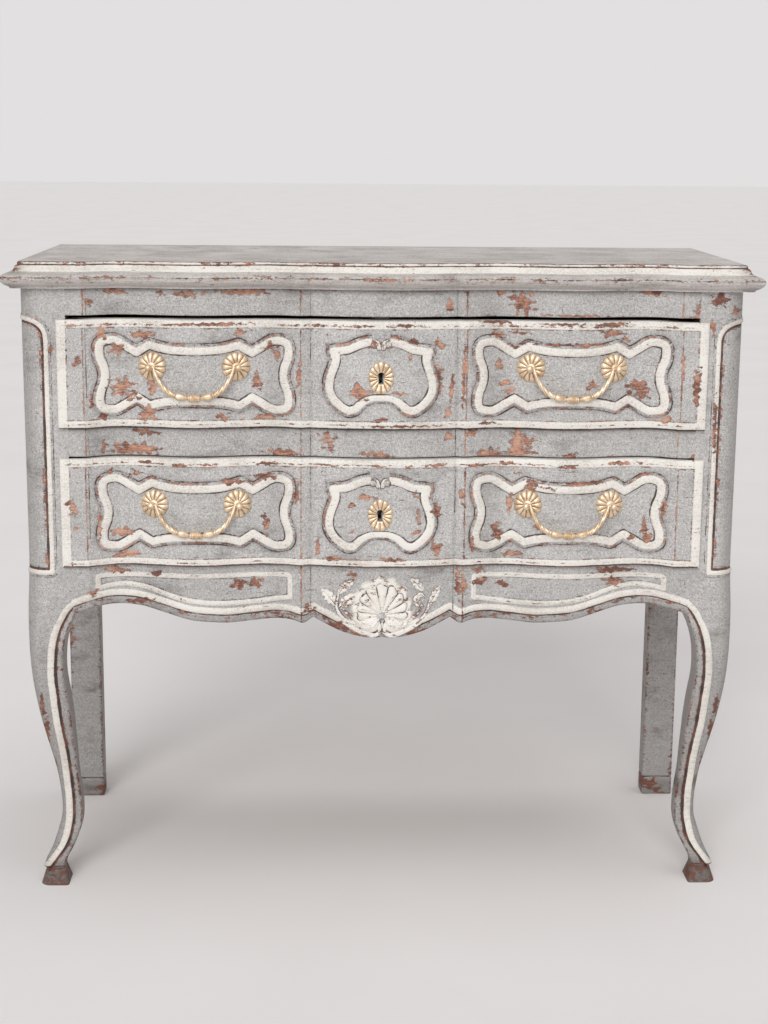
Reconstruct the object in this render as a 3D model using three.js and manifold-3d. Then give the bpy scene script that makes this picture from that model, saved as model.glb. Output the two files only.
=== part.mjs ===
// A painted country commode chest: two lipped drawers behind a serpentine front, a carved apron,
// cabriole front legs with hoof feet and straight square legs behind.
// Millimetres, +Z up, the front faces -Y, and the origin is on the floor under the middle.

import * as THREE from 'three';
import { mergeVertices } from 'three/addons/utils/BufferGeometryUtils.js';
import Module from 'manifold-3d';

const wasm = await Module();
wasm.setup();

// Driving dimensions of the whole chest.

const height = 880;
const clearance = 0.3;
const overrun = 5;
const carvingSink = 1.5;

const frame = {
  outerHalf: 487.5,
  rearInset: 3.5,
  depth: 384,
  sideInset: 5.5,
};

const stile = {
  width: 62,
  depth: 58,
  cornerRadius: 30,
  edgeRadius: 4,
  beadWidth: 7,
  beadRise: 1.6,
  beadInset: 37,
  archRise: 38,
  panelFoot: 7,
};

const leg = {
  freeHeight: 400,
};

const rearPost = {
  width: 48,
  depth: 34,
  shoeHeight: 30,
  shoeGroove: 1.5,
};

const top = {
  thickness: 35,
  mouldReach: 22,
  sideReach: 20,
  frontReach: 22,
};

const rail = {
  frieze: 36.5,
  middle: 38.5,
  tenonLength: 28,
  tenonThickness: 12,
  tenonSetback: 26,
  tenonShoulder: 6,
};

const apron = {
  centreDrop: 101,
  beadWidth: 8.5,
  beadRise: 2,
  beadLift: 17,
};

const side = {
  railThickness: 24,
  topRail: 42,
  bottomRail: 62,
  bottomArch: 26,
  panelThickness: 12,
  panelInset: 6,
  tenonThickness: 10,
};

const back = {
  railThickness: 22,
  topRail: 42,
  bottomRail: 46,
  panelThickness: 10,
  panelInset: 6,
};

const runner = {
  width: 58,
  thickness: 24,
  guideHeight: 20,
  guideWidth: 14,
};

// Set-back of the serpentine front behind its flat margins.
const wave = {
  trough: 18,
  bulge: 4,
  arris: 8,
  notch: 12.5,
  swell: 1,
};

const drawer = {
  lipReach: 11.5,
  lipThickness: 10,
  bodyThickness: 30,
  sideGap: 1,
  sideThickness: 13,
  sideSetDown: 10,
  rearGap: 12,
  backThickness: 12,
  backSetDown: 18,
  bottomThickness: 8,
  bottomLift: 8,
  grooveDepth: 6,
  tailDepth: 14,
  tailCount: 4,
  tailHeight: 20,
  tailNarrowing: 3,
  edgeWidth: 10,
  edgeFall: 3,
  upperHeight: 146,
  lowerHeight: 150,
  upperGap: 5,
  lowerGap: 2,
  footGap: 1.5,
};

const drawerRows = [
  {
    name: 'upper', height: drawer.upperHeight, gapAbove: drawer.upperGap, gapBelow: drawer.footGap,
  },
  {
    name: 'lower', height: drawer.lowerHeight, gapAbove: drawer.lowerGap, gapBelow: drawer.footGap,
  },
];

const cartouche = {
  sideHalfWidth: 126,
  sideHalfHeight: 46.5,
  centreHalfWidth: 74,
  centreHalfHeight: 48,
  dropFromDrawerTop: 74.5,
  beadWidth: 8,
  beadRise: 2,
};

// Carved shell over the middle of the apron.
const shell = {
  reach: 55,
  hubLift: 34,
  rise: 4.5,
  leafRise: 3,
};

const pull = {
  spacing: 112,
  dropFromDrawerTop: 62.5,
  roseRadius: 19.5,
  roseRim: 1.6,
  roseDome: 5.7,
  seatGap: 0.8,
  neckRadius: 3.2,
  knobRadius: 4.6,
  studRadius: 2.5,
  studTail: 6,
  eyeRadius: 1.8,
  pinRadius: 1.4,
  pinReach: 4,
  bailDrop: 41,
  bailRadius: 5.6,
  bailBow: 3.6,
  bailGap: 0.6,
  nutWidth: 9,
  nutThickness: 3.5,
  seatRadius: 8,
};

const lock = {
  width: 90,
  depth: 13,
  belowKeyhole: 22,
  boltWidth: 24,
  boltThickness: 6,
  boltLength: 42,
  boltThrow: 8,
  boltProud: 1.5,
  mortiseMargin: 2,
};

const keyhole = {
  offset: -4,
  dropFromDrawerTop: 75.5,
  bowRadius: 3.6,
  slotHalfWidth: 2.6,
  slotDepth: 13,
  plateWidth: 33,
  plateHeight: 43,
  plateThickness: 3.2,
};

// Counts.

const petals = 13;
const platePetals = 15;
const roundSteps = 10;

// Outlines as shares of the sizes that they follow.

// Across the front, as shares of half the drawer opening.
const waveShares = {
  margin: 0.9636,
  outerTrough: 0.832,
  bulge: 0.599,
  innerTrough: 0.3666,
  arris: 0.263,
  notch: 0.235,
};

// Top moulding: outwards as a share of the reach, down as a share of the thickness.
const mouldShares = [
  [0, 0], [0.04, 0.13], [0.16, 0.16], [0.23, 0.27], [0.45, 0.38], [0.76, 0.45],
  [0.95, 0.52], [1, 0.62], [0.94, 0.74], [0.74, 0.86], [0.5, 0.93], [0.46, 1],
];

// Cabriole leg, from the knee down: height as a share of the free height, outer and inner faces as
// shares of the stile's width measured from the stile's own faces, and the corner's radius.
const legShares = [
  { up: 1.175, outer: 0.008, inner: 0, round: 1 },
  { up: 1.0875, outer: 0.048, inner: 0, round: 0.95 },
  { up: 1.025, outer: 0.077, inner: 0, round: 0.9 },
  { up: 0.985, outer: 0.087, inner: 0.005, round: 0.88 },
  { up: 0.965, outer: 0.089, inner: 0.048, round: 0.86 },
  { up: 0.935, outer: 0.09, inner: 0.13, round: 0.82 },
  { up: 0.895, outer: 0.089, inner: 0.202, round: 0.76 },
  { up: 0.855, outer: 0.081, inner: 0.242, round: 0.7 },
  { up: 0.8, outer: 0.048, inner: 0.258, round: 0.64 },
  { up: 0.75, outer: 0, inner: 0.242, round: 0.58 },
  { up: 0.68, outer: -0.089, inner: 0.185, round: 0.5 },
  { up: 0.6, outer: -0.226, inner: 0.137, round: 0.44 },
  { up: 0.5375, outer: -0.339, inner: 0.113, round: 0.38 },
  { up: 0.475, outer: -0.427, inner: 0.089, round: 0.34 },
  { up: 0.4, outer: -0.492, inner: 0.065, round: 0.32 },
  { up: 0.325, outer: -0.516, inner: 0.024, round: 0.31 },
  { up: 0.275, outer: -0.508, inner: 0.016, round: 0.31 },
  { up: 0.225, outer: -0.468, inner: 0.04, round: 0.32 },
  { up: 0.1875, outer: -0.403, inner: 0.089, round: 0.33 },
  { up: 0.15, outer: -0.331, inner: 0.161, round: 0.34 },
  { up: 0.12, outer: -0.266, inner: 0.25, round: 0.34 },
  { up: 0.095, outer: -0.194, inner: 0.339, round: 0.34 },
  { up: 0.075, outer: -0.129, inner: 0.387, round: 0.34 },
  { up: 0.06, outer: -0.1, inner: 0.403, round: 0.34 },
  { up: 0.05, outer: -0.161, inner: 0.387, round: 0.4 },
  { up: 0, outer: -0.073, inner: 0.282, round: 0.46 },
];

// Between these heights the leg's section leaves the stile's flat faces.
const legFlushShares = { from: 0.855, to: 0.965 };

// Lower edge of the apron: across as a share of half the drawer opening, down as a share of the drop.
const apronShares = [
  [0, 0.985], [0.03, 1], [0.081, 0.973], [0.135, 0.91], [0.19, 0.803], [0.223, 0.731],
  [0.248, 0.803], [0.262, 0.81], [0.301, 0.771], [0.355, 0.766], [0.4, 0.784], [0.489, 0.811],
  [0.541, 0.798], [0.623, 0.76], [0.703, 0.669], [0.785, 0.58], [0.865, 0.553], [0.913, 0.566],
  [0.964, 0.612], [1, 0.671],
];

// Lower line of the outline on each half of the apron, in the shares of the apron's lower edge.
const apronPanelShares = [
  [0.919, 0.307], [0.87, 0.275], [0.82, 0.267], [0.754, 0.327], [0.672, 0.45], [0.591, 0.512],
  [0.4935, 0.525], [0.397, 0.505], [0.3, 0.4475],
];
const apronPanelTopShare = 0.134;

// Bead down the leg: height as a share of the free height, and the distance from the leg's inner face
// as a share of the stile's width.
const legBeadShares = [
  [1.047, -0.05], [1.033, 0], [1.0175, 0.105], [0.995, 0.25], [0.965, 0.347], [0.9, 0.3], [0.83, 0.31],
  [0.75, 0.34], [0.68, 0.35], [0.6, 0.34], [0.5375, 0.32], [0.475, 0.31], [0.4, 0.31], [0.325, 0.32],
  [0.275, 0.33], [0.225, 0.34], [0.1875, 0.35], [0.15, 0.36], [0.12, 0.37], [0.095, 0.4], [0.075, 0.43],
  [0.062, 0.45],
];

// Half of the shell, from its top round to its cleft: angle as a share of half a turn, reach as a share
// of the shell's reach, height as a share of its rise.
const shellShares = [
  [0, 1, 1], [0.057, 0.9, 0.5], [0.115, 0.9, 1], [0.168, 0.79, 0.5], [0.22, 0.78, 1],
  [0.27, 0.7, 0.5], [0.32, 0.72, 1], [0.37, 0.65, 0.5], [0.42, 0.69, 1], [0.475, 0.61, 0.5],
  [0.53, 0.64, 1], [0.6, 0.55, 0.5], [0.68, 0.61, 1], [0.8, 0.5, 0.9], [1, 0.36, 0.3],
];

// From the shell's rim to its hub: reach and height as shares of those at the rim's ridges.
const shellRingShares = [[1, 0.5], [0.85, 1], [0.4, 1], [0.13, 0.8]];

// Leaves of the right spray: across and up from the hub, length and width as shares of the shell's
// reach, and the leaf's direction as a share of half a turn.
const leafShares = [
  { across: 1.1, up: 0.19, length: 1.2, width: 0.12, turn: 0.287 },
  { across: 1.4, up: 0.55, length: 0.46, width: 0.18, turn: 0.37 },
  { across: 0.89, up: 0.84, length: 0.42, width: 0.2, turn: 0.75 },
  { across: 0.95, up: 0.39, length: 0.4, width: 0.17, turn: 0.64 },
];

// Half outline of one leaf, as shares of its length and width.
const leafOutlineShares = [[-0.5, 0], [-0.25, 0.42], [0, 0.5], [0.25, 0.38], [0.5, 0]];

// Rounded edge of a drawer front: inwards as a share of its width, back as a share of its fall.
const edgeShares = [[0, 1], [0.4, 0.3], [1, 0]];

// Quarter of a side cartouche, from its side to its middle, as shares of its half sizes.
const sideCartoucheShares = [
  [0.944, 0], [0.955, 0.23], [0.992, 0.51], [1, 0.79], [0.968, 0.95], [0.87, 1], [0.8, 0.94],
  [0.716, 0.8], [0.614, 0.64], [0.545, 0.755], [0.475, 0.868], [0.36, 0.785], [0.222, 0.73], [0, 0.71],
];

// Half of the centre cartouche, from top to bottom, as shares of its half sizes.
const centreCartoucheShares = [
  [0, 0.9], [0.18, 1], [0.39, 0.92], [0.635, 0.8], [0.89, 0.73], [0.81, 0.58], [0.83, 0.35],
  [0.91, 0], [0.935, -0.31], [0.875, -0.58], [0.74, -0.81], [0.59, -0.94], [0.47, -0.9],
  [0.33, -0.71], [0.18, -0.6], [0, -0.575],
];

// Half of a bail, from the middle to its end: across, down and radius, as shares of reach, drop, radius.
const bailShares = [
  [0, 1, 1], [0.08, 1, 0.97], [0.13, 1, 0.8], [0.15, 0.998, 0.43], [0.2, 0.99, 0.45],
  [0.27, 0.975, 0.75], [0.36, 0.955, 0.86], [0.45, 0.92, 0.74], [0.55, 0.87, 0.6], [0.68, 0.76, 0.55],
  [0.8, 0.58, 0.5], [0.9, 0.36, 0.44], [0.965, 0.15, 0.38], [0.99, 0.04, 0.32],
];

// Dome of a rose, from its rim inwards: out as a share of its radius, up as a share of its height, and
// how deep the valleys between the petals are as a share of the radius.
const domeShares = [[1, 0, 0.07], [1, 0.25, 0.07], [0.8, 0.72, 0.06], [0.3, 1, 0]];

// Reach of a keyhole plate round one petal, from its tip to the next tip.
const petalReachShares = [1, 0.97, 0.88, 0.97];

// Knob of a rose past its neck, as shares of the knob's radius.
const knobShares = [[1, 0.5], [0.8, 1.1], [0, 1.35]];

// Places that follow from the driving dimensions.

const caseTop = height - top.thickness;
const overallDepth = top.frontReach + wave.swell + frame.depth;
const faceY = top.frontReach + wave.swell - overallDepth / 2;
const backY = faceY + frame.depth;
const openingHalf = frame.outerHalf - stile.width;
const rearOuterHalf = frame.outerHalf - frame.rearInset;
const rearInnerHalf = rearOuterHalf - rearPost.width;
const sideFaceX = frame.outerHalf - frame.sideInset;
const sideBackX = sideFaceX - side.railThickness;
const drawerFaceY = faceY - drawer.lipThickness;
const friezeFoot = caseTop - rail.frieze;
const rearPostFaceY = backY - rearPost.depth;

let level = friezeFoot;
const rows = drawerRows.map((row, index) => {
  const drawerTop = level - row.gapAbove;
  const drawerFoot = drawerTop - row.height;
  const floor = drawerFoot - row.gapBelow;
  const opening = level;
  level = index === 0 ? floor - rail.middle : floor;
  return { ...row, opening, drawerTop, drawerFoot, floor };
});
const middleRailTop = rows[0].floor;
const apronTop = rows[1].floor;

const waveAt = {
  margin: waveShares.margin * openingHalf,
  outerTrough: waveShares.outerTrough * openingHalf,
  bulge: waveShares.bulge * openingHalf,
  innerTrough: waveShares.innerTrough * openingHalf,
  arris: waveShares.arris * openingHalf,
  notch: waveShares.notch * openingHalf,
};

// Eases from 0 to 1 with a flat start and a flat end.
const ease = (t) => (1 - Math.cos(Math.PI * t)) / 2;
const quarter = (t) => Math.sin((Math.PI * t) / 2);
const share = (x, from, to) => (x - from) / (to - from);

// How far the front lies behind its margins at a place across the chest.
function setBack(x) {
  const across = Math.abs(x);
  if (across >= waveAt.margin) return 0;
  if (across >= waveAt.outerTrough) {
    return wave.trough * quarter(share(across, waveAt.margin, waveAt.outerTrough));
  }
  if (across >= waveAt.bulge) {
    return wave.trough + (wave.bulge - wave.trough) * ease(share(across, waveAt.outerTrough, waveAt.bulge));
  }
  if (across >= waveAt.innerTrough) {
    return wave.bulge + (wave.trough - wave.bulge) * ease(share(across, waveAt.bulge, waveAt.innerTrough));
  }
  if (across >= waveAt.arris) {
    const t = share(across, waveAt.innerTrough, waveAt.arris);
    return wave.trough + (wave.arris - wave.trough) * (1 - quarter(1 - t));
  }
  if (across >= waveAt.notch) {
    return wave.arris + (wave.notch - wave.arris) * share(across, waveAt.arris, waveAt.notch);
  }
  return wave.notch - (wave.notch + wave.swell) * (1 - (across / waveAt.notch) ** 2);
}

// Slope of the front at a place across the chest, as an angle about +Z.
function slopeAt(x) {
  const step = clearance;
  return Math.atan((setBack(x + step) - setBack(x - step)) / (step + step));
}

// Places across the front where its plan needs a point, from left to right.
function waveStations(half) {
  const knots = [
    [waveAt.margin, waveAt.outerTrough, 4], [waveAt.outerTrough, waveAt.bulge, 5],
    [waveAt.bulge, waveAt.innerTrough, 5], [waveAt.innerTrough, waveAt.arris, 3],
    [waveAt.arris, waveAt.notch, 1], [waveAt.notch, 0, 5],
  ];
  const right = [half];
  for (const [from, to, steps] of knots) {
    for (let i = 0; i < steps; i += 1) right.push(from + ((to - from) * i) / steps);
  }
  const left = right.map((x) => -x);
  return [...left, 0, ...right.reverse()];
}

// Materials.

const surface = (color, roughness, metalness) => (
  new THREE.MeshStandardMaterial({ color, roughness, metalness })
);
const paint = (color, roughness = 0.75) => surface(color, roughness, 0);
const metal = (color, roughness) => surface(color, roughness, 1);
const greyPaint = paint(0xacabaa);
const topPaint = paint(0xb4ada8, 0.6);
const bareWood = paint(0x9a7a58, 0.85);
const backWood = paint(0x7d6248, 0.9);
const gildedBrass = metal(0xc8a878, 0.45);
const darkIron = metal(0x4a4744, 0.6);

// Geometry helpers.

const vec = (x, y, z) => new THREE.Vector3(x, y, z);

// A box between two corners.
function box(x0, x1, y0, y1, z0, z1) {
  const geometry = new THREE.BoxGeometry(x1 - x0, y1 - y0, z1 - z0);
  return geometry.translate((x0 + x1) / 2, (y0 + y1) / 2, (z0 + z1) / 2);
}

// A plan outline raised from one height to another.
function prism(outline, z0, z1) {
  const shape = new THREE.Shape(outline.map(([x, y]) => new THREE.Vector2(x, y)));
  const geometry = new THREE.ExtrudeGeometry(shape, { depth: z1 - z0, bevelEnabled: false });
  return geometry.translate(0, 0, z0);
}

// An outline in the X-Z plane, carried along +Y from y0 to y1.
function facePrism(outline, y0, y1, holes = []) {
  const shape = new THREE.Shape(outline.map(([x, z]) => new THREE.Vector2(x, z)));
  shape.holes = holes.map((hole) => new THREE.Path(hole.map(([x, z]) => new THREE.Vector2(x, z))));
  const geometry = new THREE.ExtrudeGeometry(shape, { depth: y1 - y0, bevelEnabled: false });
  return geometry.rotateX(Math.PI / 2).translate(0, y1, 0);
}

// An outline in the Y-Z plane, carried along +X from x0 to x1.
function sidePrism(outline, x0, x1) {
  const shape = new THREE.Shape(outline.map(([y, z]) => new THREE.Vector2(y, z)));
  const geometry = new THREE.ExtrudeGeometry(shape, { depth: x1 - x0, bevelEnabled: false });
  return geometry.rotateX(Math.PI / 2).rotateZ(Math.PI / 2).translate(x0, 0, 0);
}

// A closed skin over rings of equally many points, with a flat cap on the first and the last ring.
function loft(rings) {
  const count = rings[0].length;
  const positions = rings.flat().flatMap((p) => [p.x, p.y, p.z]);
  const index = [];
  for (let r = 0; r + 1 < rings.length; r += 1) {
    for (let i = 0; i < count; i += 1) {
      const a = r * count + i;
      const b = r * count + ((i + 1) % count);
      index.push(a, b, b + count, a, b + count, a + count);
    }
  }
  const cap = (ring) => {
    const centre = ring.reduce((sum, p) => sum.clone().add(p), vec(0, 0, 0)).divideScalar(count);
    const normal = ring.reduce((sum, p, i) => {
      const next = ring[(i + 1) % count];
      return sum.add(p.clone().sub(centre).cross(next.clone().sub(centre)));
    }, vec(0, 0, 0)).normalize();
    const u = ring[0].clone().sub(centre).projectOnPlane(normal).normalize();
    const v = normal.clone().cross(u);
    const flat = ring.map((p) => {
      const arm = p.clone().sub(centre);
      return new THREE.Vector2(arm.dot(u), arm.dot(v));
    });
    return THREE.ShapeUtils.triangulateShape(flat, []);
  };
  const last = (rings.length - 1) * count;
  cap(rings[0]).forEach(([a, b, c]) => index.push(a, c, b));
  cap(rings[rings.length - 1]).forEach(([a, b, c]) => index.push(last + a, last + b, last + c));
  const geometry = new THREE.BufferGeometry();
  geometry.setAttribute('position', new THREE.Float32BufferAttribute(positions, 3));
  geometry.setIndex(index);
  return geometry;
}

// A closed tube of round section along points, with its own radius at each point.
function taperedTube(points, radii, sides, up) {
  const rings = points.map((p, i) => {
    const before = points[Math.max(i - 1, 0)];
    const after = points[Math.min(i + 1, points.length - 1)];
    const along = after.clone().sub(before).normalize();
    const across = along.clone().cross(up).normalize();
    const normal = across.clone().cross(along);
    return Array.from({ length: sides }, (_, k) => {
      const angle = (2 * Math.PI * k) / sides;
      return p.clone()
        .addScaledVector(across, -radii[i] * Math.cos(angle))
        .addScaledVector(normal, radii[i] * Math.sin(angle));
    });
  });
  return loft(rings);
}

// A turned shape about the front-to-back axis: its profile is given as radius and reach to the front.
function turned(profile, steps) {
  const points = profile.map(([r, reach]) => new THREE.Vector2(r, reach));
  return new THREE.LatheGeometry(points, steps).rotateX(Math.PI);
}

function toManifold(geometry) {
  const bare = geometry.clone();
  bare.deleteAttribute('normal');
  bare.deleteAttribute('uv');
  const merged = mergeVertices(bare, clearance / 1000);
  const mesh = new wasm.Mesh({
    numProp: 3,
    vertProperties: new Float32Array(merged.attributes.position.array),
    triVerts: new Uint32Array(merged.index.array),
  });
  mesh.merge();
  return new wasm.Manifold(mesh);
}

function fromManifold(manifold) {
  const mesh = manifold.getMesh();
  const geometry = new THREE.BufferGeometry();
  geometry.setAttribute('position', new THREE.BufferAttribute(mesh.vertProperties, mesh.numProp));
  geometry.setIndex(new THREE.BufferAttribute(mesh.triVerts, 1));
  return geometry;
}

const join = (first, ...others) => fromManifold(
  others.reduce((whole, other) => whole.add(toManifold(other)), toManifold(first)),
);
const cut = (first, ...others) => fromManifold(
  others.reduce((whole, other) => whole.subtract(toManifold(other)), toManifold(first)),
);
const overlapOf = (first, second) => fromManifold(toManifold(first).intersect(toManifold(second)));

// The same piece for the other side of the chest.
function mirrored(geometry) {
  const copy = geometry.index ? geometry.clone() : mergeVertices(geometry);
  copy.scale(-1, 1, 1);
  const index = copy.index.array;
  for (let i = 0; i < index.length; i += 3) [index[i], index[i + 1]] = [index[i + 1], index[i]];
  copy.deleteAttribute('normal');
  return copy;
}

const model = new THREE.Group();

function addPiece(name, geometry, material) {
  if (!geometry.attributes.normal) geometry.computeVertexNormals();
  const mesh = new THREE.Mesh(geometry, material);
  mesh.name = name;
  model.add(mesh);
}

function addPair(name, geometry, material) {
  addPiece(`right_${name}`, geometry, material);
  addPiece(`left_${name}`, mirrored(geometry), material);
}

// A raised bead of three faces along a path in X and Z. The carved face gives its depth at a place.
function faceBead(path, width, rise, carvedFace, closed) {
  const count = path.length;
  const rings = path.map(([x, z], i) => {
    const before = path[closed ? (i + count - 1) % count : Math.max(i - 1, 0)];
    const after = path[closed ? (i + 1) % count : Math.min(i + 1, count - 1)];
    const along = new THREE.Vector2(after[0] - before[0], after[1] - before[1]).normalize();
    const offset = (across, out) => {
      const px = x - along.y * across;
      const pz = z + along.x * across;
      return vec(px, carvedFace(px, pz) - out, pz);
    };
    const half = width / 2;
    const flat = half / 2;
    return [
      offset(half, -carvingSink), offset(half, rise / 4), offset(flat, rise), offset(-flat, rise),
      offset(-half, rise / 4), offset(-half, -carvingSink),
    ];
  });
  if (!closed) return loft(rings);
  const size = rings[0].length;
  const positions = rings.flat().flatMap((p) => [p.x, p.y, p.z]);
  const index = [];
  for (let r = 0; r < count; r += 1) {
    const next = ((r + 1) % count) * size;
    for (let i = 0; i < size; i += 1) {
      const a = r * size + i;
      const b = r * size + ((i + 1) % size);
      const c = next + ((i + 1) % size);
      const d = next + i;
      index.push(a, b, c, a, c, d);
    }
  }
  const geometry = new THREE.BufferGeometry();
  geometry.setAttribute('position', new THREE.Float32BufferAttribute(positions, 3));
  geometry.setIndex(index);
  return geometry;
}

// Top board: one plan outline, carried down the moulding.
function topBoard() {
  const flatHalf = frame.outerHalf + top.sideReach - top.mouldReach;
  const flatFrontY = faceY - top.frontReach + top.mouldReach;
  const stations = waveStations(flatHalf);
  const rings = mouldShares.map(([out, down]) => {
    const reach = out * top.mouldReach;
    const z = height - down * top.thickness;
    const frontEdge = stations.map((x, i) => {
      const atEnd = i === 0 || i === stations.length - 1;
      return vec(x + (atEnd ? Math.sign(x) * reach : 0), flatFrontY + setBack(x) - reach, z);
    });
    const half = flatHalf + reach;
    return [vec(-half, backY, z), ...frontEdge, vec(half, backY, z)];
  }).reverse();
  return loft(rings);
}

// Plan outline of a front rail between two widths, with a flat back.
function railPlan(half, frontY, rearY) {
  const frontEdge = waveStations(half).map((x) => [x, frontY + setBack(x)]);
  return [...frontEdge, [half, rearY], [-half, rearY]];
}

// The tenon box at the right end of a front rail, grown by a gap to make its mortise.
function frontTenon(foot, head, gap) {
  const y0 = faceY + rail.tenonSetback;
  return box(
    openingHalf - overrun, openingHalf + rail.tenonLength + gap,
    y0 - gap, y0 + rail.tenonThickness + gap,
    foot + rail.tenonShoulder - gap, head - rail.tenonShoulder + gap,
  );
}

const frontTenons = [
  [friezeFoot, caseTop - clearance],
  [middleRailTop - rail.middle, middleRailTop],
  [apronTop - apron.centreDrop * apronShares[apronShares.length - 1][1] + rail.tenonShoulder, apronTop],
];

function withTenons(body, foot, head) {
  const tenon = frontTenon(foot, head, 0);
  return join(body, tenon, mirrored(tenon));
}

// Pocket in the underside of a rail for the lock bolt.
function boltMortise(foot) {
  const y0 = faceY + drawer.bodyThickness;
  const half = lock.boltWidth / 2 + lock.mortiseMargin;
  return box(
    keyhole.offset - half, keyhole.offset + half, y0, y0 + lock.depth,
    foot - overrun, foot + lock.boltThrow + lock.mortiseMargin,
  );
}

const railHalf = openingHalf - clearance;
const carvedRail = (x) => faceY + setBack(x);

function friezeRail() {
  const plan = railPlan(railHalf, faceY, faceY + stile.depth);
  const body = prism(plan, friezeFoot, caseTop - clearance);
  return cut(withTenons(body, ...frontTenons[0]), boltMortise(friezeFoot));
}

function middleRail() {
  const foot = middleRailTop - rail.middle;
  const body = prism(railPlan(railHalf, faceY, faceY + stile.depth), foot, middleRailTop);
  return cut(withTenons(body, ...frontTenons[1]), boltMortise(foot));
}

// Front outline of the apron, mirrored about its middle.
function apronOutline(half) {
  const right = apronShares.map(([across, down]) => [across * half, apronTop - down * apron.centreDrop]);
  const left = right.slice(1).map(([x, z]) => [-x, z]).reverse();
  return [[-half, apronTop], ...left, ...right, [half, apronTop]];
}

// The bead that runs over the apron a little above its lower edge.
function apronBead() {
  const right = apronShares.map(([across, down]) => [
    across * railHalf, apronTop - down * apron.centreDrop + apron.beadLift,
  ]);
  const [endX, endZ] = right[right.length - 1];
  right.push([endX + apron.beadWidth, endZ - apron.beadWidth / 2]);
  const path = [...right.slice(1).map(([x, z]) => [-x, z]).reverse(), ...right];
  const bead = faceBead(path, apron.beadWidth, apron.beadRise, carvedRail, false);
  return overlapOf(bead, box(-railHalf, railHalf, faceY - overrun, backY, 0, height));
}

// The closed outline on the right half of the apron, above its bead.
function apronPanelBead() {
  const lower = apronPanelShares.map(([across, down]) => [
    across * openingHalf, apronTop - down * apron.centreDrop,
  ]);
  const [outerX] = lower[0];
  const [innerX] = lower[lower.length - 1];
  const topZ = apronTop - apronPanelTopShare * apron.centreDrop;
  const between = waveStations(railHalf).filter((x) => x > innerX + overrun && x < outerX - overrun);
  const upper = [innerX, ...between, outerX].map((x) => [x, topZ]);
  return faceBead([...lower, ...upper], stile.beadWidth, stile.beadRise, carvedRail, true);
}

// A body carved in relief on the apron: rings of places in X and Z, each with its height over the face.
function relief(rings) {
  const [rim] = rings;
  const sunk = rim.map(([x, z]) => [x, z, -carvingSink]);
  return loft([sunk, ...rings].map((ring) => ring.map(([x, z, out]) => vec(x, carvedRail(x) - out, z))));
}

const hubZ = apronTop - apron.centreDrop + shell.hubLift;

function carvedShell() {
  const right = shellShares.map(([turn, reach, up]) => [Math.PI * (0.5 - turn), reach, up]);
  const left = right.slice(1, -1).map(([angle, reach, up]) => [Math.PI - angle, reach, up]);
  const round = [...left, ...right.reverse()];
  return relief(shellRingShares.map(([inwards, high]) => round.map(([angle, reach, up]) => {
    const r = inwards * reach * shell.reach;
    return [r * Math.cos(angle), hubZ + r * Math.sin(angle), high * up * shell.rise];
  })));
}

// One leaf of the spray beside the shell, as a low pillow with a ridge.
function carvedLeaf({ across, up, length, width, turn }) {
  const half = leafOutlineShares.map(([along, out]) => [along * length, out * width]);
  const outline = [...half, ...half.slice(1, -1).map(([along, out]) => [along, -out]).reverse()];
  const angle = Math.PI * turn;
  const ring = (share, rise) => outline.map(([along, out]) => [
    shell.reach * (across + share * (along * Math.cos(angle) + out * Math.sin(angle))),
    hubZ + shell.reach * (up + share * (along * Math.sin(angle) - out * Math.cos(angle))),
    rise,
  ]);
  return relief([ring(1, shell.leafRise / 2), ring(1 / 2, shell.leafRise)]);
}

function apronRail() {
  const plan = prism(railPlan(railHalf, faceY, faceY + stile.depth), apronTop - height, apronTop + overrun);
  const face = facePrism(apronOutline(railHalf), faceY - overrun, backY);
  const leaves = leafShares.map(carvedLeaf);
  const panel = apronPanelBead();
  const body = join(
    overlapOf(plan, face), apronBead(), panel, mirrored(panel),
    carvedShell(), ...leaves, ...leaves.map(mirrored),
  );
  return withTenons(body, ...frontTenons[2]);
}

// One rounded corner of a leg's section.
function corner(cx, cy, radius, from, steps) {
  return Array.from({ length: steps + 1 }, (_, i) => {
    const angle = from + (Math.PI / 2) * (i / steps);
    return [cx + radius * Math.cos(angle), cy + radius * Math.sin(angle)];
  });
}

// Section of the front leg at one height, for the right side, seen from above.
function legSection(z, outerShift, innerShift, round, flush) {
  const inner = openingHalf + innerShift;
  const outer = frame.outerHalf + outerShift;
  const front = faceY - outerShift;
  const rear = faceY + stile.depth - innerShift;
  const frontAtInner = front + flush * outerShift;
  const outerAtRear = outer - flush * outerShift;
  const small = stile.edgeRadius;
  return [
    ...corner(inner + small, frontAtInner + small, small, Math.PI, 2),
    ...corner(outer - round, front + round, round, 1.5 * Math.PI, 6),
    ...corner(outerAtRear - small, rear - small, small, 0, 2),
    ...corner(inner + small, rear - small, small, 0.5 * Math.PI, 2),
  ].map(([x, y]) => vec(x, y, z));
}

const sideTenonY = faceY + stile.depth;

// A tenon of a side rail, into the front leg or the rear post.
function sideTenon(foot, head, atRear, gap) {
  const x0 = sideBackX + (side.railThickness - side.tenonThickness) / 2;
  const y0 = atRear ? rearPostFaceY - overrun : sideTenonY - rail.tenonLength / 2 - gap;
  const y1 = atRear ? rearPostFaceY + rail.tenonLength / 2 + gap : sideTenonY + overrun;
  return box(
    x0 - gap, x0 + side.tenonThickness + gap, y0, y1,
    foot + rail.tenonShoulder - gap, head - rail.tenonShoulder + gap,
  );
}

const sideTopFoot = caseTop - side.topRail;
const sideBottomFoot = apronTop - side.bottomRail;
const sideTenons = [[sideTopFoot, caseTop - clearance], [sideBottomFoot, apronTop]];

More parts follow.
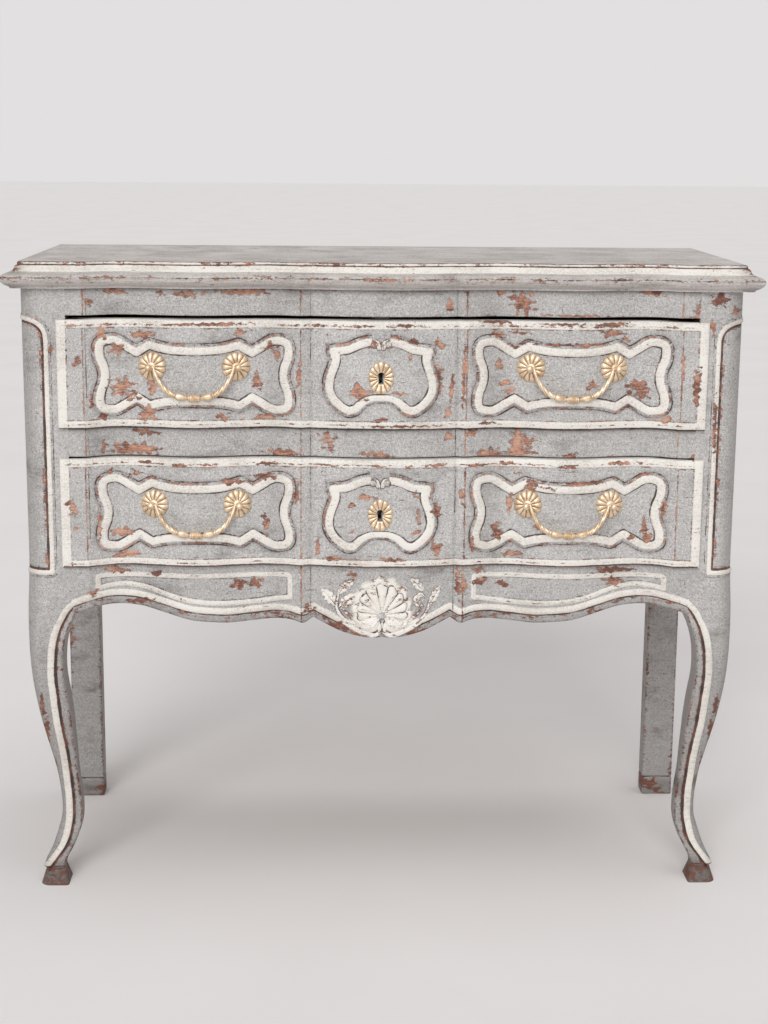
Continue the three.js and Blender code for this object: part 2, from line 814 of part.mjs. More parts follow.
// Flat panel outline carved down the corner of the stile: an arched bead that wraps the corner.
function stileBead() {
  const innerX = frame.outerHalf - stile.beadInset;
  const wrapX = frame.outerHalf - stile.cornerRadius / 2;
  const archFoot = friezeFoot - stile.archRise;
  const footZ = apronTop - stile.panelFoot;
  const steps = 6;
  const path = [[wrapX, footZ], [innerX, footZ]];
  for (let i = 0; i <= steps; i += 1) {
    const t = i / steps;
    const x = innerX + (wrapX - innerX) * (1 - Math.cos((Math.PI / 2) * t));
    path.push([x, archFoot + stile.archRise * quarter(t)]);
  }
  const carvedStile = (x) => roundedFront(x, faceY, frame.outerHalf, stile.cornerRadius);
  return faceBead(path, stile.beadWidth, stile.beadRise, carvedStile, false);
}

// Depth of a front face at a place across, where its outer corner is rounded.
function roundedFront(x, front, outer, radius) {
  const past = Math.min(Math.max(x - outer + radius, 0), radius);
  return front + radius - Math.sqrt(radius ** 2 - past ** 2);
}

// Sizes of the leg's section at a height, between those of the listed sections.
function legAt(z) {
  const up = z / leg.freeHeight;
  const below = legShares.findIndex((entry) => entry.up <= up);
  const [a, b] = [legShares[below - 1], legShares[below]];
  const t = share(up, b.up, a.up);
  const between = (key) => b[key] + (a[key] - b[key]) * t;
  return {
    inner: openingHalf + between('inner') * stile.width,
    outer: frame.outerHalf + between('outer') * stile.width,
    front: faceY - between('outer') * stile.width,
    round: between('round') * stile.cornerRadius,
    flush: legFlush(between('up')),
  };
}

// The bead that comes off the apron and runs down the leg to its toe.
function legBead() {
  const path = legBeadShares.map(([up, out]) => {
    const z = up * leg.freeHeight;
    return [legAt(z).inner + out * stile.width, z];
  });
  const carvedLeg = (x, z) => {
    const { inner, outer, front, round, flush } = legAt(z);
    const atInner = front + flush * (faceY - front);
    const slant = share(Math.min(Math.max(x, inner), outer - round), inner, outer - round);
    return roundedFront(x, atInner + (front - atInner) * slant, outer, round);
  };
  const bead = faceBead(path, apron.beadWidth, apron.beadRise, carvedLeg, false);
  return overlapOf(bead, box(openingHalf, height, -height, height, 0, height));
}

// How much of the stile's own flat faces a section of the leg keeps, from none to all.
function legFlush(up) {
  return Math.min(Math.max(share(up, legFlushShares.from, legFlushShares.to), 0), 1);
}

function frontLeg() {
  const rings = legShares.map(({ up, outer, inner, round }) => legSection(
    up * leg.freeHeight, outer * stile.width, inner * stile.width, round * stile.cornerRadius, legFlush(up),
  ));
  const head = legSection(caseTop - clearance, 0, 0, stile.cornerRadius, 1);
  const neck = legSection(apronTop + stile.panelFoot, 0, 0, stile.cornerRadius, 1);
  const body = join(loft([...rings].reverse().concat([neck, head])), stileBead(), legBead());
  const mortises = frontTenons.map(([foot, high]) => frontTenon(foot, high, clearance));
  const sideMortises = sideTenons.map(([foot, high]) => sideTenon(foot, high, false, clearance));
  return cut(body, ...mortises, ...sideMortises);
}

// Section outline of the rear post with its groove above the foot.
function rearLeg() {
  const x0 = rearInnerHalf;
  const x1 = rearOuterHalf;
  const y0 = rearPostFaceY;
  const groove = rearPost.shoeGroove;
  const ring = (inset, z) => [
    vec(x0 + inset, y0 + inset, z), vec(x1 - inset, y0 + inset, z),
    vec(x1 - inset, backY - inset, z), vec(x0 + inset, backY - inset, z),
  ];
  const body = loft([
    ring(groove, 0), ring(0, groove), ring(0, rearPost.shoeHeight - groove),
    ring(groove, rearPost.shoeHeight), ring(0, rearPost.shoeHeight + groove), ring(0, caseTop - clearance),
  ]);
  const sideMortises = sideTenons.map(([foot, high]) => sideTenon(foot, high, true, clearance));
  const backMortises = backTenons.map(([foot, high]) => backTenon(foot, high, clearance));
  return cut(body, ...sideMortises, ...backMortises);
}

// Side frame of rails and panel.

const sideFrontY = faceY + stile.depth + clearance;
const sideRearY = rearPostFaceY - clearance;

function sideRail(outline, foot, head) {
  const body = sidePrism(outline, sideBackX, sideFaceX);
  return join(body, sideTenon(foot, head, false, 0), sideTenon(foot, head, true, 0));
}

function sideTopRail() {
  return sideRail([
    [sideFrontY, sideTopFoot], [sideRearY, sideTopFoot],
    [sideRearY, caseTop - clearance], [sideFrontY, caseTop - clearance],
  ], ...sideTenons[0]);
}

function sideBottomRail() {
  const steps = 10;
  const lower = [];
  for (let i = 0; i <= steps; i += 1) {
    const t = i / steps;
    const rise = side.bottomArch * ease(Math.min(2 * t, 2 - 2 * t)) ;
    lower.push([sideFrontY + (sideRearY - sideFrontY) * t, sideBottomFoot + rise]);
  }
  return sideRail([...lower, [sideRearY, apronTop], [sideFrontY, apronTop]], ...sideTenons[1]);
}

function sidePanel() {
  const x1 = sideFaceX - side.panelInset;
  return box(
    x1 - side.panelThickness, x1, sideFrontY, sideRearY,
    apronTop + clearance, sideTopFoot - clearance,
  );
}

// Back frame.

const backRailY1 = backY - back.panelInset / 2;
const backRailY0 = backRailY1 - back.railThickness;
const backTopFoot = caseTop - back.topRail;
const backBottomFoot = apronTop - back.bottomRail;
const backTenons = [[backTopFoot, caseTop - clearance], [backBottomFoot, apronTop]];

function backTenon(foot, head, gap) {
  const y0 = backRailY0 + (back.railThickness - side.tenonThickness) / 2;
  return box(
    rearInnerHalf - overrun, rearInnerHalf + rail.tenonLength / 2 + gap,
    y0 - gap, y0 + side.tenonThickness + gap,
    foot + rail.tenonShoulder - gap, head - rail.tenonShoulder + gap,
  );
}

function backRail(foot, head) {
  const half = rearInnerHalf - clearance;
  const tenon = backTenon(foot, head, 0);
  return join(box(-half, half, backRailY0, backRailY1, foot, head), tenon, mirrored(tenon));
}

function backPanel() {
  const half = rearInnerHalf - clearance;
  const y1 = backRailY1 - back.panelInset;
  return box(-half, half, y1 - back.panelThickness, y1, apronTop + clearance, backTopFoot - clearance);
}

// Runner under a drawer's side, with the strip that guides it.
function drawerRunner(floor) {
  const x1 = sideBackX - clearance;
  const x0 = x1 - runner.width;
  const board = box(x0, x1, sideFrontY, sideRearY, floor - runner.thickness, floor);
  const strip = box(
    openingHalf, openingHalf + runner.guideWidth, sideFrontY, sideRearY,
    floor - clearance, floor + runner.guideHeight,
  );
  return join(board, strip);
}

// Strip above the upper drawer that stops it tipping when it is pulled out.
function kicker() {
  const x1 = sideBackX - clearance;
  return box(x1 - runner.width, x1, sideFrontY, sideRearY, friezeFoot, caseTop - clearance);
}

// Drawers.

const boxHalf = openingHalf - drawer.sideGap;
const lipHalf = openingHalf + drawer.lipReach;
const frontInnerY = faceY + drawer.bodyThickness;
const boxRearY = rearPostFaceY - drawer.rearGap;
const sideInnerHalf = boxHalf - drawer.sideThickness;

// Heights of the tails between a drawer side's foot and head.
function tailHeights(foot, head) {
  const pitch = (head - foot) / drawer.tailCount;
  return Array.from({ length: drawer.tailCount }, (_, i) => foot + pitch * (i + 0.5));
}

// One dovetail at the front end of a right drawer side.
function tail(z, gap) {
  const wide = drawer.tailHeight / 2 + gap;
  const narrow = wide - drawer.tailNarrowing;
  const y0 = frontInnerY - drawer.tailDepth - gap;
  const outline = [
    [y0, z - wide], [frontInnerY + clearance, z - narrow], [frontInnerY + overrun, z - narrow],
    [frontInnerY + overrun, z + narrow], [frontInnerY + clearance, z + narrow], [y0, z + wide],
  ];
  return sidePrism(outline, sideInnerHalf - gap, boxHalf + (gap > 0 ? overrun : 0));
}

function bottomBox(row, gap) {
  const half = sideInnerHalf + drawer.grooveDepth + gap;
  const z0 = row.floor + clearance + drawer.bottomLift;
  return box(
    -half, half, frontInnerY - drawer.grooveDepth - gap, boxRearY + (gap > 0 ? overrun : 0),
    z0 - gap, z0 + drawer.bottomThickness + gap,
  );
}

// Keyhole outline about its own middle: a round bow over a tapered slot.
function keyholeOutline(x, z) {
  const bowZ = z + keyhole.bowRadius;
  const steps = 8;
  const points = [];
  for (let i = 0; i <= steps; i += 1) {
    const angle = -Math.PI / 4 + (1.5 * Math.PI * i) / steps;
    points.push([x + keyhole.bowRadius * Math.cos(angle), bowZ + keyhole.bowRadius * Math.sin(angle)]);
  }
  const slotFoot = bowZ - keyhole.slotDepth;
  points.push([x - keyhole.slotHalfWidth, slotFoot], [x + keyhole.slotHalfWidth, slotFoot]);
  return points;
}

// Closed outline of a side cartouche, from the shares of one quarter.
function sideCartouche(cx, cz) {
  const quarterPath = sideCartoucheShares.map(([across, up]) => [
    across * cartouche.sideHalfWidth, up * cartouche.sideHalfHeight,
  ]);
  const inner = quarterPath.slice(0, -1);
  const flip = (sx, sz, list) => list.map(([x, z]) => [cx + sx * x, cz + sz * z]);
  return [
    ...flip(1, 1, quarterPath),
    ...flip(-1, 1, [...inner].reverse()),
    ...flip(-1, -1, quarterPath.slice(1)),
    ...flip(1, -1, [...inner].reverse().slice(0, -1)),
  ];
}

// Closed outline of the centre cartouche, from the shares of one half.
function centreCartouche(cx, cz) {
  const half = centreCartoucheShares.map(([across, up]) => [
    across * cartouche.centreHalfWidth, up * cartouche.centreHalfHeight,
  ]);
  const left = half.slice(1, -1).map(([x, z]) => [cx - x, cz + z]);
  const right = half.map(([x, z]) => [cx + x, cz + z]);
  return [...left, ...right.reverse()];
}

const pullX = waveAt.bulge;
const roseXs = [pullX - pull.spacing / 2, pullX + pull.spacing / 2];
const gripY = drawerFaceY + wave.bulge - cartouche.beadRise - pull.bailGap - pull.bailRadius;
const pivotY = gripY + pull.bailBow;
const standoff = (drawerFaceY + setBack(roseXs[1]) - pivotY) / Math.cos(slopeAt(roseXs[1]));
const eyeHalf = pull.spacing / 2 + standoff * Math.sin(slopeAt(roseXs[1]));
const bailReach = eyeHalf - pull.neckRadius - pull.eyeRadius;

// Moves a shape that is made about the rose's own seat to its place on the drawer.
function seatRose(geometry, x, z) {
  return geometry.rotateZ(slopeAt(x)).translate(x, drawerFaceY + setBack(x), z);
}

// Section of a drawer front at one height: serpentine outside, flat inside, with a lip past each end.
// Its face falls back near its ends, and everywhere by the share that is given for this height.
function drawerSection(z, fallShare) {
  const inside = waveStations(lipHalf - drawer.edgeWidth).map((x) => [x, fallShare]);
  const rightEnd = edgeShares.slice(0, -1).map(([inwards, back]) => [
    lipHalf - inwards * drawer.edgeWidth, Math.max(back, fallShare),
  ]);
  const leftEnd = rightEnd.map(([x, back]) => [-x, back]);
  const frontEdge = [...leftEnd, ...inside, ...rightEnd.reverse()].map(([x, back]) => (
    [x, drawerFaceY + setBack(x) + back * drawer.edgeFall]
  ));
  const lipY = faceY - clearance;
  const outline = [
    ...frontEdge, [lipHalf, lipY], [boxHalf, lipY], [boxHalf, frontInnerY],
    [-boxHalf, frontInnerY], [-boxHalf, lipY], [-lipHalf, lipY],
  ];
  return outline.map(([x, y]) => vec(x, y, z));
}

function drawerFront(row) {
  const lower = edgeShares.map(([inwards, back]) => (
    drawerSection(row.drawerFoot + inwards * drawer.edgeWidth, back)
  ));
  const upper = edgeShares.map(([inwards, back]) => (
    drawerSection(row.drawerTop - inwards * drawer.edgeWidth, back)
  ));
  const body = loft([...lower, ...upper.reverse()]);
  const beadZ = row.drawerTop - cartouche.dropFromDrawerTop;
  const carvedDrawer = (x) => drawerFaceY + setBack(x);
  const bead = (path) => faceBead(path, cartouche.beadWidth, cartouche.beadRise, carvedDrawer, true);
  const beads = [
    bead(sideCartouche(pullX, beadZ)),
    bead(sideCartouche(-pullX, beadZ)),
    bead(centreCartouche(keyhole.offset, beadZ)),
  ];
  const tailZs = tailHeights(row.floor, row.drawerTop - drawer.sideSetDown);
  const tailSlots = tailZs.map((z) => tail(z, clearance));
  const keyZ = row.drawerTop - keyhole.dropFromDrawerTop;
  const keyway = facePrism(keyholeOutline(keyhole.offset, keyZ), faceY - height, backY);
  const drills = [];
  for (const x of [...roseXs, ...roseXs.map((place) => -place)]) {
    const through = turned([
      [0, -stile.depth], [pull.seatRadius, -stile.depth], [pull.seatRadius, -seatDepth(x)],
      [pull.studRadius + clearance, -seatDepth(x)], [pull.studRadius + clearance, overrun], [0, overrun],
    ], roundSteps);
    drills.push(seatRose(through, x, row.drawerTop - pull.dropFromDrawerTop));
  }
  return cut(
    join(body, ...beads),
    ...tailSlots, ...tailSlots.map(mirrored), bottomBox(row, clearance), keyway, ...drills,
  );
}

// Depth below the drawer's face, along a tilted stud, of the flat seat for its nut.
function seatDepth(x) {
  const wood = frontInnerY - drawerFaceY - setBack(x);
  return wood / Math.cos(slopeAt(x)) - pull.seatRadius * Math.tan(Math.abs(slopeAt(x))) - clearance;
}

function drawerSide(row) {
  const foot = row.floor + clearance;
  const head = row.drawerTop - drawer.sideSetDown;
  const board = box(sideInnerHalf, boxHalf, frontInnerY + clearance, boxRearY, foot, head);
  const tails = tailHeights(row.floor, head).map((z) => tail(z, 0));
  return cut(join(board, ...tails), bottomBox(row, clearance));
}

function drawerBack(row) {
  const half = sideInnerHalf - clearance;
  const foot = row.floor + clearance + drawer.bottomLift + drawer.bottomThickness + clearance;
  const head = row.drawerTop - drawer.backSetDown;
  return box(-half, half, boxRearY - drawer.backThickness, boxRearY, foot, head);
}

// Furniture.

// A cast rose of rounded petals with its neck, knob and threaded stud, all one piece.
function rose(x) {
  const stud = seatDepth(x) + pull.nutThickness + pull.studTail / 2;
  const petalRing = (radius, out, dip) => Array.from({ length: petals * 2 }, (_, i) => {
    const angle = (Math.PI * i) / petals;
    const r = radius * (i % 2 === 0 ? 1 : 1 - dip);
    return vec(r * Math.cos(angle), -out, r * Math.sin(angle));
  });
  const gap = pull.seatGap;
  const dome = loft(domeShares.map(([out, up, dip]) => (
    petalRing(out * pull.roseRadius, gap + up * pull.roseDome, dip)
  )));
  const knob = pull.knobRadius;
  const knobFoot = standoff + pull.eyeRadius + knob / 4;
  const shank = turned([
    [0, -stud], [pull.studRadius, -stud], [pull.studRadius, gap], [pull.neckRadius, gap + pull.roseRim],
    [pull.neckRadius, knobFoot], ...knobShares.map(([out, up]) => [out * knob, knobFoot + up * knob]),
  ], roundSteps);
  return join(dome, shank);
}

function roseOnDrawer(x, z) {
  const placed = seatRose(rose(x), x, z);
  const inwards = x > pullX ? -1 : 1;
  const depth = pull.neckRadius + overrun;
  const hole = new THREE.CylinderGeometry(pull.eyeRadius, pull.eyeRadius, depth, 8);
  hole.rotateZ(Math.PI / 2);
  hole.translate(pullX - inwards * (eyeHalf - pull.neckRadius / 2 - overrun / 2 + clearance), pivotY, z);
  return cut(placed, hole);
}

function nutOnDrawer(x, z) {
  const nut = new THREE.CylinderGeometry(pull.nutWidth / 2, pull.nutWidth / 2, pull.nutThickness, 6);
  const hole = new THREE.CylinderGeometry(
    pull.studRadius + clearance, pull.studRadius + clearance, pull.nutThickness + overrun, roundSteps,
  );
  const ring = cut(nut, hole).translate(0, seatDepth(x) + clearance + pull.nutThickness / 2, 0);
  return seatRose(ring, x, z);
}

// A drop bail whose ends turn outwards into the necks of its two roses.
function bail(z) {
  const half = bailShares.map(([across, down, thick]) => ({
    x: across * bailReach,
    bow: down * pull.bailBow,
    drop: down * pull.bailDrop,
    r: thick * pull.bailRadius,
  }));
  const pin = [bailReach, bailReach + pull.pinReach].map((x) => ({ x, bow: 0, drop: 0, r: pull.pinRadius }));
  const right = [...half, ...pin];
  const all = [...right.slice(1).map((p) => ({ ...p, x: -p.x })).reverse(), ...right];
  const points = all.map(({ x, bow, drop }) => vec(pullX + x, pivotY - bow, z - drop));
  return taperedTube(points, all.map(({ r }) => r), 8, vec(0, 1, 0));
}

// A cast oval plate of rounded petals round its keyhole.
function escutcheon(row) {
  const cz = row.drawerTop - keyhole.dropFromDrawerTop;
  const steps = platePetals * petalReachShares.length;
  const outline = Array.from({ length: steps }, (_, i) => {
    const angle = Math.PI / 2 + (2 * Math.PI * i) / steps;
    const reach = petalReachShares[i % petalReachShares.length];
    return [
      keyhole.offset + (keyhole.plateWidth / 2) * reach * Math.cos(angle),
      cz + (keyhole.plateHeight / 2) * reach * Math.sin(angle),
    ];
  });
  const hole = keyholeOutline(keyhole.offset, row.drawerTop - keyhole.dropFromDrawerTop);
  const backFace = drawerFaceY - wave.swell - clearance;
  return facePrism(outline, backFace - keyhole.plateThickness, backFace, [hole]);
}

function boltBox(row, gap) {
  const half = lock.boltWidth / 2 + gap;
  const y0 = frontInnerY + (lock.depth - lock.boltThickness) / 2;
  const head = row.drawerTop + lock.boltProud;
  return box(
    keyhole.offset - half, keyhole.offset + half, y0 - gap, y0 + lock.boltThickness + gap,
    head - lock.boltLength - gap, head + (gap > 0 ? overrun : 0),
  );
}

function lockCase(row) {
  const half = lock.width / 2;
  const keyZ = row.drawerTop - keyhole.dropFromDrawerTop;
  const foot = keyZ - lock.belowKeyhole;
  const y0 = frontInnerY + clearance;
  const housing = box(
    keyhole.offset - half, keyhole.offset + half, y0, frontInnerY + lock.depth, foot, row.drawerTop,
  );
  const bolt = boltBox(row, clearance);
  const wardHalf = lock.boltWidth / 2;
  const ward = box(
    keyhole.offset - wardHalf, keyhole.offset + wardHalf,
    frontInnerY + (lock.depth - lock.boltThickness) / 2,
    frontInnerY + (lock.depth + lock.boltThickness) / 2,
    keyZ - keyhole.slotDepth, row.drawerTop + lock.boltProud - lock.boltLength,
  );
  const keywayOutline = keyholeOutline(keyhole.offset, keyZ);
  const keyway = facePrism(keywayOutline, frontInnerY - overrun, frontInnerY + lock.depth / 2);
  return cut(housing, bolt, ward, keyway);
}

// The chest, from the top down.

addPiece('top_board', topBoard(), topPaint);
addPiece('frieze_rail', friezeRail(), greyPaint);
addPiece('middle_rail', middleRail(), greyPaint);
addPiece('apron', apronRail(), greyPaint);
addPair('front_leg', frontLeg(), greyPaint);
addPair('rear_leg', rearLeg(), greyPaint);
addPair('side_top_rail', sideTopRail(), greyPaint);
addPair('side_bottom_rail', sideBottomRail(), greyPaint);
addPair('side_panel', sidePanel(), greyPaint);
addPiece('back_top_rail', backRail(backTopFoot, caseTop - clearance), backWood);
addPiece('back_bottom_rail', backRail(backBottomFoot, apronTop), backWood);
addPiece('back_panel', backPanel(), backWood);
addPair('kicker', kicker(), bareWood);

for (const row of rows) {
  const pullZ = row.drawerTop - pull.dropFromDrawerTop;
  addPair(`${row.name}_runner`, drawerRunner(row.floor), bareWood);
  addPiece(`${row.name}_drawer_front`, drawerFront(row), greyPaint);
  addPair(`${row.name}_drawer_side`, drawerSide(row), bareWood);
  addPiece(`${row.name}_drawer_back`, drawerBack(row), bareWood);
  addPiece(`${row.name}_drawer_bottom`, bottomBox(row, 0), bareWood);
  addPiece(`${row.name}_escutcheon`, escutcheon(row), gildedBrass);
  addPiece(`${row.name}_lock_case`, lockCase(row), darkIron);
  addPiece(`${row.name}_lock_bolt`, boltBox(row, 0), darkIron);
  addPair(`${row.name}_bail`, bail(pullZ), gildedBrass);
  roseXs.forEach((x, i) => {
    const place = i === 0 ? 'inner' : 'outer';
    addPair(`${row.name}_${place}_rose`, roseOnDrawer(x, pullZ), gildedBrass);
    addPair(`${row.name}_${place}_nut`, nutOnDrawer(x, pullZ), darkIron);
  });
}

export default model;
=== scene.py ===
"""Painted country commode chest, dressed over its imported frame."""

import logging
import math
from collections.abc import Callable, Sequence
from dataclasses import dataclass
from enum import Enum

import bmesh
import bpy
import numpy as np
from bmesh.types import BMEdge, BMesh, BMFace, BMVert
from bpy.types import NodeSocket
from mathutils import Matrix, Vector


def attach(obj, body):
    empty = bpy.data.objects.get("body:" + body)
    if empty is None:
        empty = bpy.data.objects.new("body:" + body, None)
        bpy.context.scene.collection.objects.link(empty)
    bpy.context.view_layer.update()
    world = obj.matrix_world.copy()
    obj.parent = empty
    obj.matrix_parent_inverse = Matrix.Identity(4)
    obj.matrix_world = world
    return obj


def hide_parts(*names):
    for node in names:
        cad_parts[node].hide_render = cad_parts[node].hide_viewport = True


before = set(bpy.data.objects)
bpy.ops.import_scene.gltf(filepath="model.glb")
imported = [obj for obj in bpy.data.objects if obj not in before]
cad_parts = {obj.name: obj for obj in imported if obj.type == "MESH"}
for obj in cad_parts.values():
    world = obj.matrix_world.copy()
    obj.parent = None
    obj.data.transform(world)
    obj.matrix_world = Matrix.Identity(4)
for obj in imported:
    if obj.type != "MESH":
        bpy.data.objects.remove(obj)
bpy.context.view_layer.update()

LOG = logging.getLogger("commode")
MM = 0.001
FAR = 99.0
SOUND = -0.14
HANDLED = 0.04
MARKS = ("cream", "dark", "worn", "dirt")
EMPTY = {"cream": FAR, "dark": FAR, "worn": SOUND, "dirt": 0.0}
Array = np.ndarray
Pair = tuple[float, float]
Triple = tuple[float, float, float]
Place = tuple[float, float, float, float]


class Side(Enum):
    """The two sides of the chest, with the sign of X on each."""

    RIGHT = 1
    LEFT = -1

    @property
    def word(self) -> str:
        """The side's name as the frame spells it."""
        return self.name.lower()

    @property
    def mirror(self) -> Matrix:
        """Takes a shape made for the right side to this one."""
        return Matrix.Diagonal((self.value, 1, 1, 1))


def colour(red: float, green: float, blue: float) -> tuple[float, float, float, float]:
    """Turns a colour as seen on a screen into the light it stands for.

    Args:
        red: Red from 0 to 255.
        green: Green from 0 to 255.
        blue: Blue from 0 to 255.

    Returns:
        The colour as a shader socket takes it.
    """
    parts = [part / 255 for part in (red, green, blue)]
    return (*[p / 12.92 if p <= 0.04045 else ((p + 0.055) / 1.055) ** 2.4 for p in parts], 1.0)


# Lines and carved profiles.


def hump(place: Array, middle: float, width: float) -> Array:
    """A rounded hill, one high, over a place."""
    return np.exp(-(((place - middle) / width) ** 2))


def rounded(inward: Array, radius: float) -> Array:
    """How far a rounded edge falls back, from the distance inwards."""
    left = np.clip(radius**2 - (radius - inward) ** 2, 0, None)
    return np.where(inward < radius, radius - np.sqrt(left), 0)


def petals(angle: Array, turn: float, count: int) -> tuple[Array, Array]:
    """Divides a turn into petals.

    Args:
        angle: Directions from the middle of a petal.
        turn: The whole turn.
        count: Number of petals in it.

    Returns:
        Place across the nearest petal from -1 to 1, and its crown: one in its middle, none at its sides.
    """
    ray = angle / turn * count
    across = 2 * (ray - np.rint(ray))
    return across, np.sqrt(np.clip(1 - across**2, 0, 1))


def flowing(points: Sequence, corners: Sequence[int] = (), closed: bool = False, step: float = 1.5) -> Array:
    """Draws a smooth line through points, with a break at each corner.

    Args:
        points: Places that the line goes through.
        corners: Indexes of the points where the line turns sharply.
        closed: Whether the last point joins the first, which needs one corner or more.
        step: Distance between the points of the finished line.

    Returns:
        The points of the line, one row each.
    """
    spots = np.asarray(points, float)
    breaks = sorted({0, *corners, len(spots) - 1})
    if closed:
        first = min(corners)
        breaks = [*sorted(corner - first for corner in corners), len(spots)]
        spots = np.roll(spots, -first, axis=0)
        spots = np.vstack([spots, spots[:1]])
    line = []
    for start, stop in zip(breaks[:-1], breaks[1:]):
        run = spots[start : stop + 1]
        run = np.vstack([2 * run[0] - run[1], run, 2 * run[-1] - run[-2]])
        for before, a, b, after in zip(run[:-3], run[1:-2], run[2:-1], run[3:]):
            steps = max(1, math.ceil(float(np.linalg.norm(b - a)) / step))
            t = (np.arange(steps) / steps)[:, None]
            cubic = 3 * a - before - 3 * b + after
            square = 2 * before - 5 * a + 4 * b - after
            line.append(a + 0.5 * t * (b - before + t * (square + t * cubic)))
        line.append(run[-2:-1])
    whole = np.vstack(line)
    keep = np.ones(len(whole), bool)
    keep[1:] = np.linalg.norm(np.diff(whole, axis=0), axis=1) > 1e-6
    return whole[keep]


class Line:
    """A line on a face: distances from it, and which side of it a place lies on."""

    def __init__(self, points: Array, fence: Array | None = None) -> None:
        """Keeps the line and the area behind it.

        Args:
            points: Points of the line.
            fence: Outline of the area that counts as inside, or None where the line itself is closed.
        """
        self.points = points
        self.fence = points if fence is None else fence

    def offset(self, x: Array, z: Array, reach: float = 16.0) -> Array:
        """Measures how far places lie from the line.

        Args:
            x: First coordinate of each place.
            z: Second coordinate of each place.
            reach: Distance beyond which a place isn't measured.

        Returns:
            The distance of each place, below zero inside, or FAR past the reach.
        """
        low, high = self.points.min(axis=0) - reach, self.points.max(axis=0) + reach
        near = (x > low[0]) & (x < high[0]) & (z > low[1]) & (z < high[1])
        result = np.full(x.shape, FAR)
        px, pz = x[near], z[near]
        best = np.full(px.shape, FAR**2)
        for (ax, az), (bx, bz) in zip(self.points[:-1], self.points[1:]):
            dx, dz = bx - ax, bz - az
            size = dx * dx + dz * dz
            if size == 0:
                continue
            t = np.clip(((px - ax) * dx + (pz - az) * dz) / size, 0, 1)
            best = np.minimum(best, (px - ax - t * dx) ** 2 + (pz - az - t * dz) ** 2)
        inside = np.zeros(px.shape, bool)
        for (ax, az), (bx, bz) in zip(self.fence, np.roll(self.fence, -1, axis=0)):
            if az != bz:
                crosses = (az > pz) != (bz > pz)
                inside ^= crosses & (px < (bx - ax) * (pz - az) / (bz - az) + ax)
        result[near] = np.sqrt(best) * np.where(inside, -1, 1)
        return result


@dataclass(frozen=True)
class Bead:
    """A raised moulding that follows a line: its profile across, and where cream and dark paint go."""

    profile: tuple[Pair, ...]
    cream: Pair
    dark_lines: tuple[Pair, ...] = ()
    rubbed: tuple[Triple, ...] = ()

    def height(self, offset: Array) -> Array:
        """Gives the moulding's height over the face.

        Args:
            offset: Distance of each place from the moulding's line.

        Returns:
            The height at each place.
        """
        across, up = np.array(self.profile).T
        return np.interp(offset, across, up, left=0, right=0)


CARTOUCHE_BEAD = Bead(
    profile=(
        (-7.2, 0), (-6.3, -0.5), (-5.7, -0.4), (-5.2, 1.2), (-4.2, 2.1), (-2.2, 2.6), (0.4, 2.7),
        (3.4, 2.5), (5.6, 1.9), (6.4, 1.3), (7.2, 1.15), (8.8, 0.5), (9.5, -0.1), (10.0, -0.5), (11.0, 0),
    ),
    cream=(-4.8, 5.3),
    dark_lines=((-5.7, 0.55), (9.9, 0.5)),
    rubbed=((7.6, 1.1, 0.5),),
)
CARTOUCHE_FOOT = 10.5
STILE_BEAD = Bead(
    profile=(
        (-7, 0), (-5.6, -0.7), (-4.0, -0.6), (-3.2, 0.4), (-2.2, 1.6), (0, 2.1), (2.4, 1.6), (3.2, 0.9),
        (5.6, 0.4), (6.6, -0.3), (7.4, 0),
    ),
    cream=(-3.2, 3.0),
    dark_lines=((-4.7, 1.5), (6.6, 0.3)),
    rubbed=((4.6, 1.0, 0.34), (-6.6, 0.8, 0.3)),
)
LEG_BEAD = Bead(
    profile=(
        (-10.2, 0), (-9.2, 0.5), (-8.3, -0.6), (-6.9, -1.2), (-5.6, 0.4), (-4.2, 1.9), (-1, 2.5), (2.4, 1.9),
        (5, 0.7), (7, 0.1), (8, 0),
    ),
    cream=(-5.3, 4.4),
    dark_lines=((-6.9, 1.8),),
    rubbed=((-9.4, 0.9, 0.4),),
)
APRON_BEAD = Bead(
    profile=(
        (-7.5, 0), (-6.4, -0.6), (-5.2, -0.6), (-4.4, 0.5), (-3.2, 1.8), (0, 2.5), (3, 1.8), (4.4, 0.4),
        (5.4, 0),
    ),
    cream=(-4.4, 4.5),
    dark_lines=((-5.4, 0.75),),
    rubbed=((-8.0, 2.2, 0.4),),
)
PANEL_BEAD = Bead(
    profile=((-5, 0), (-4.2, -0.2), (-3.6, 0.3), (-2.6, 1.4), (0, 1.9), (2.6, 1.4), (3.6, 0.2), (4.4, 0)),
    cream=(-3.4, 3.4),
    dark_lines=((-4.2, 0.1),),
    rubbed=((0.6, 0.9, 0.26),),
)


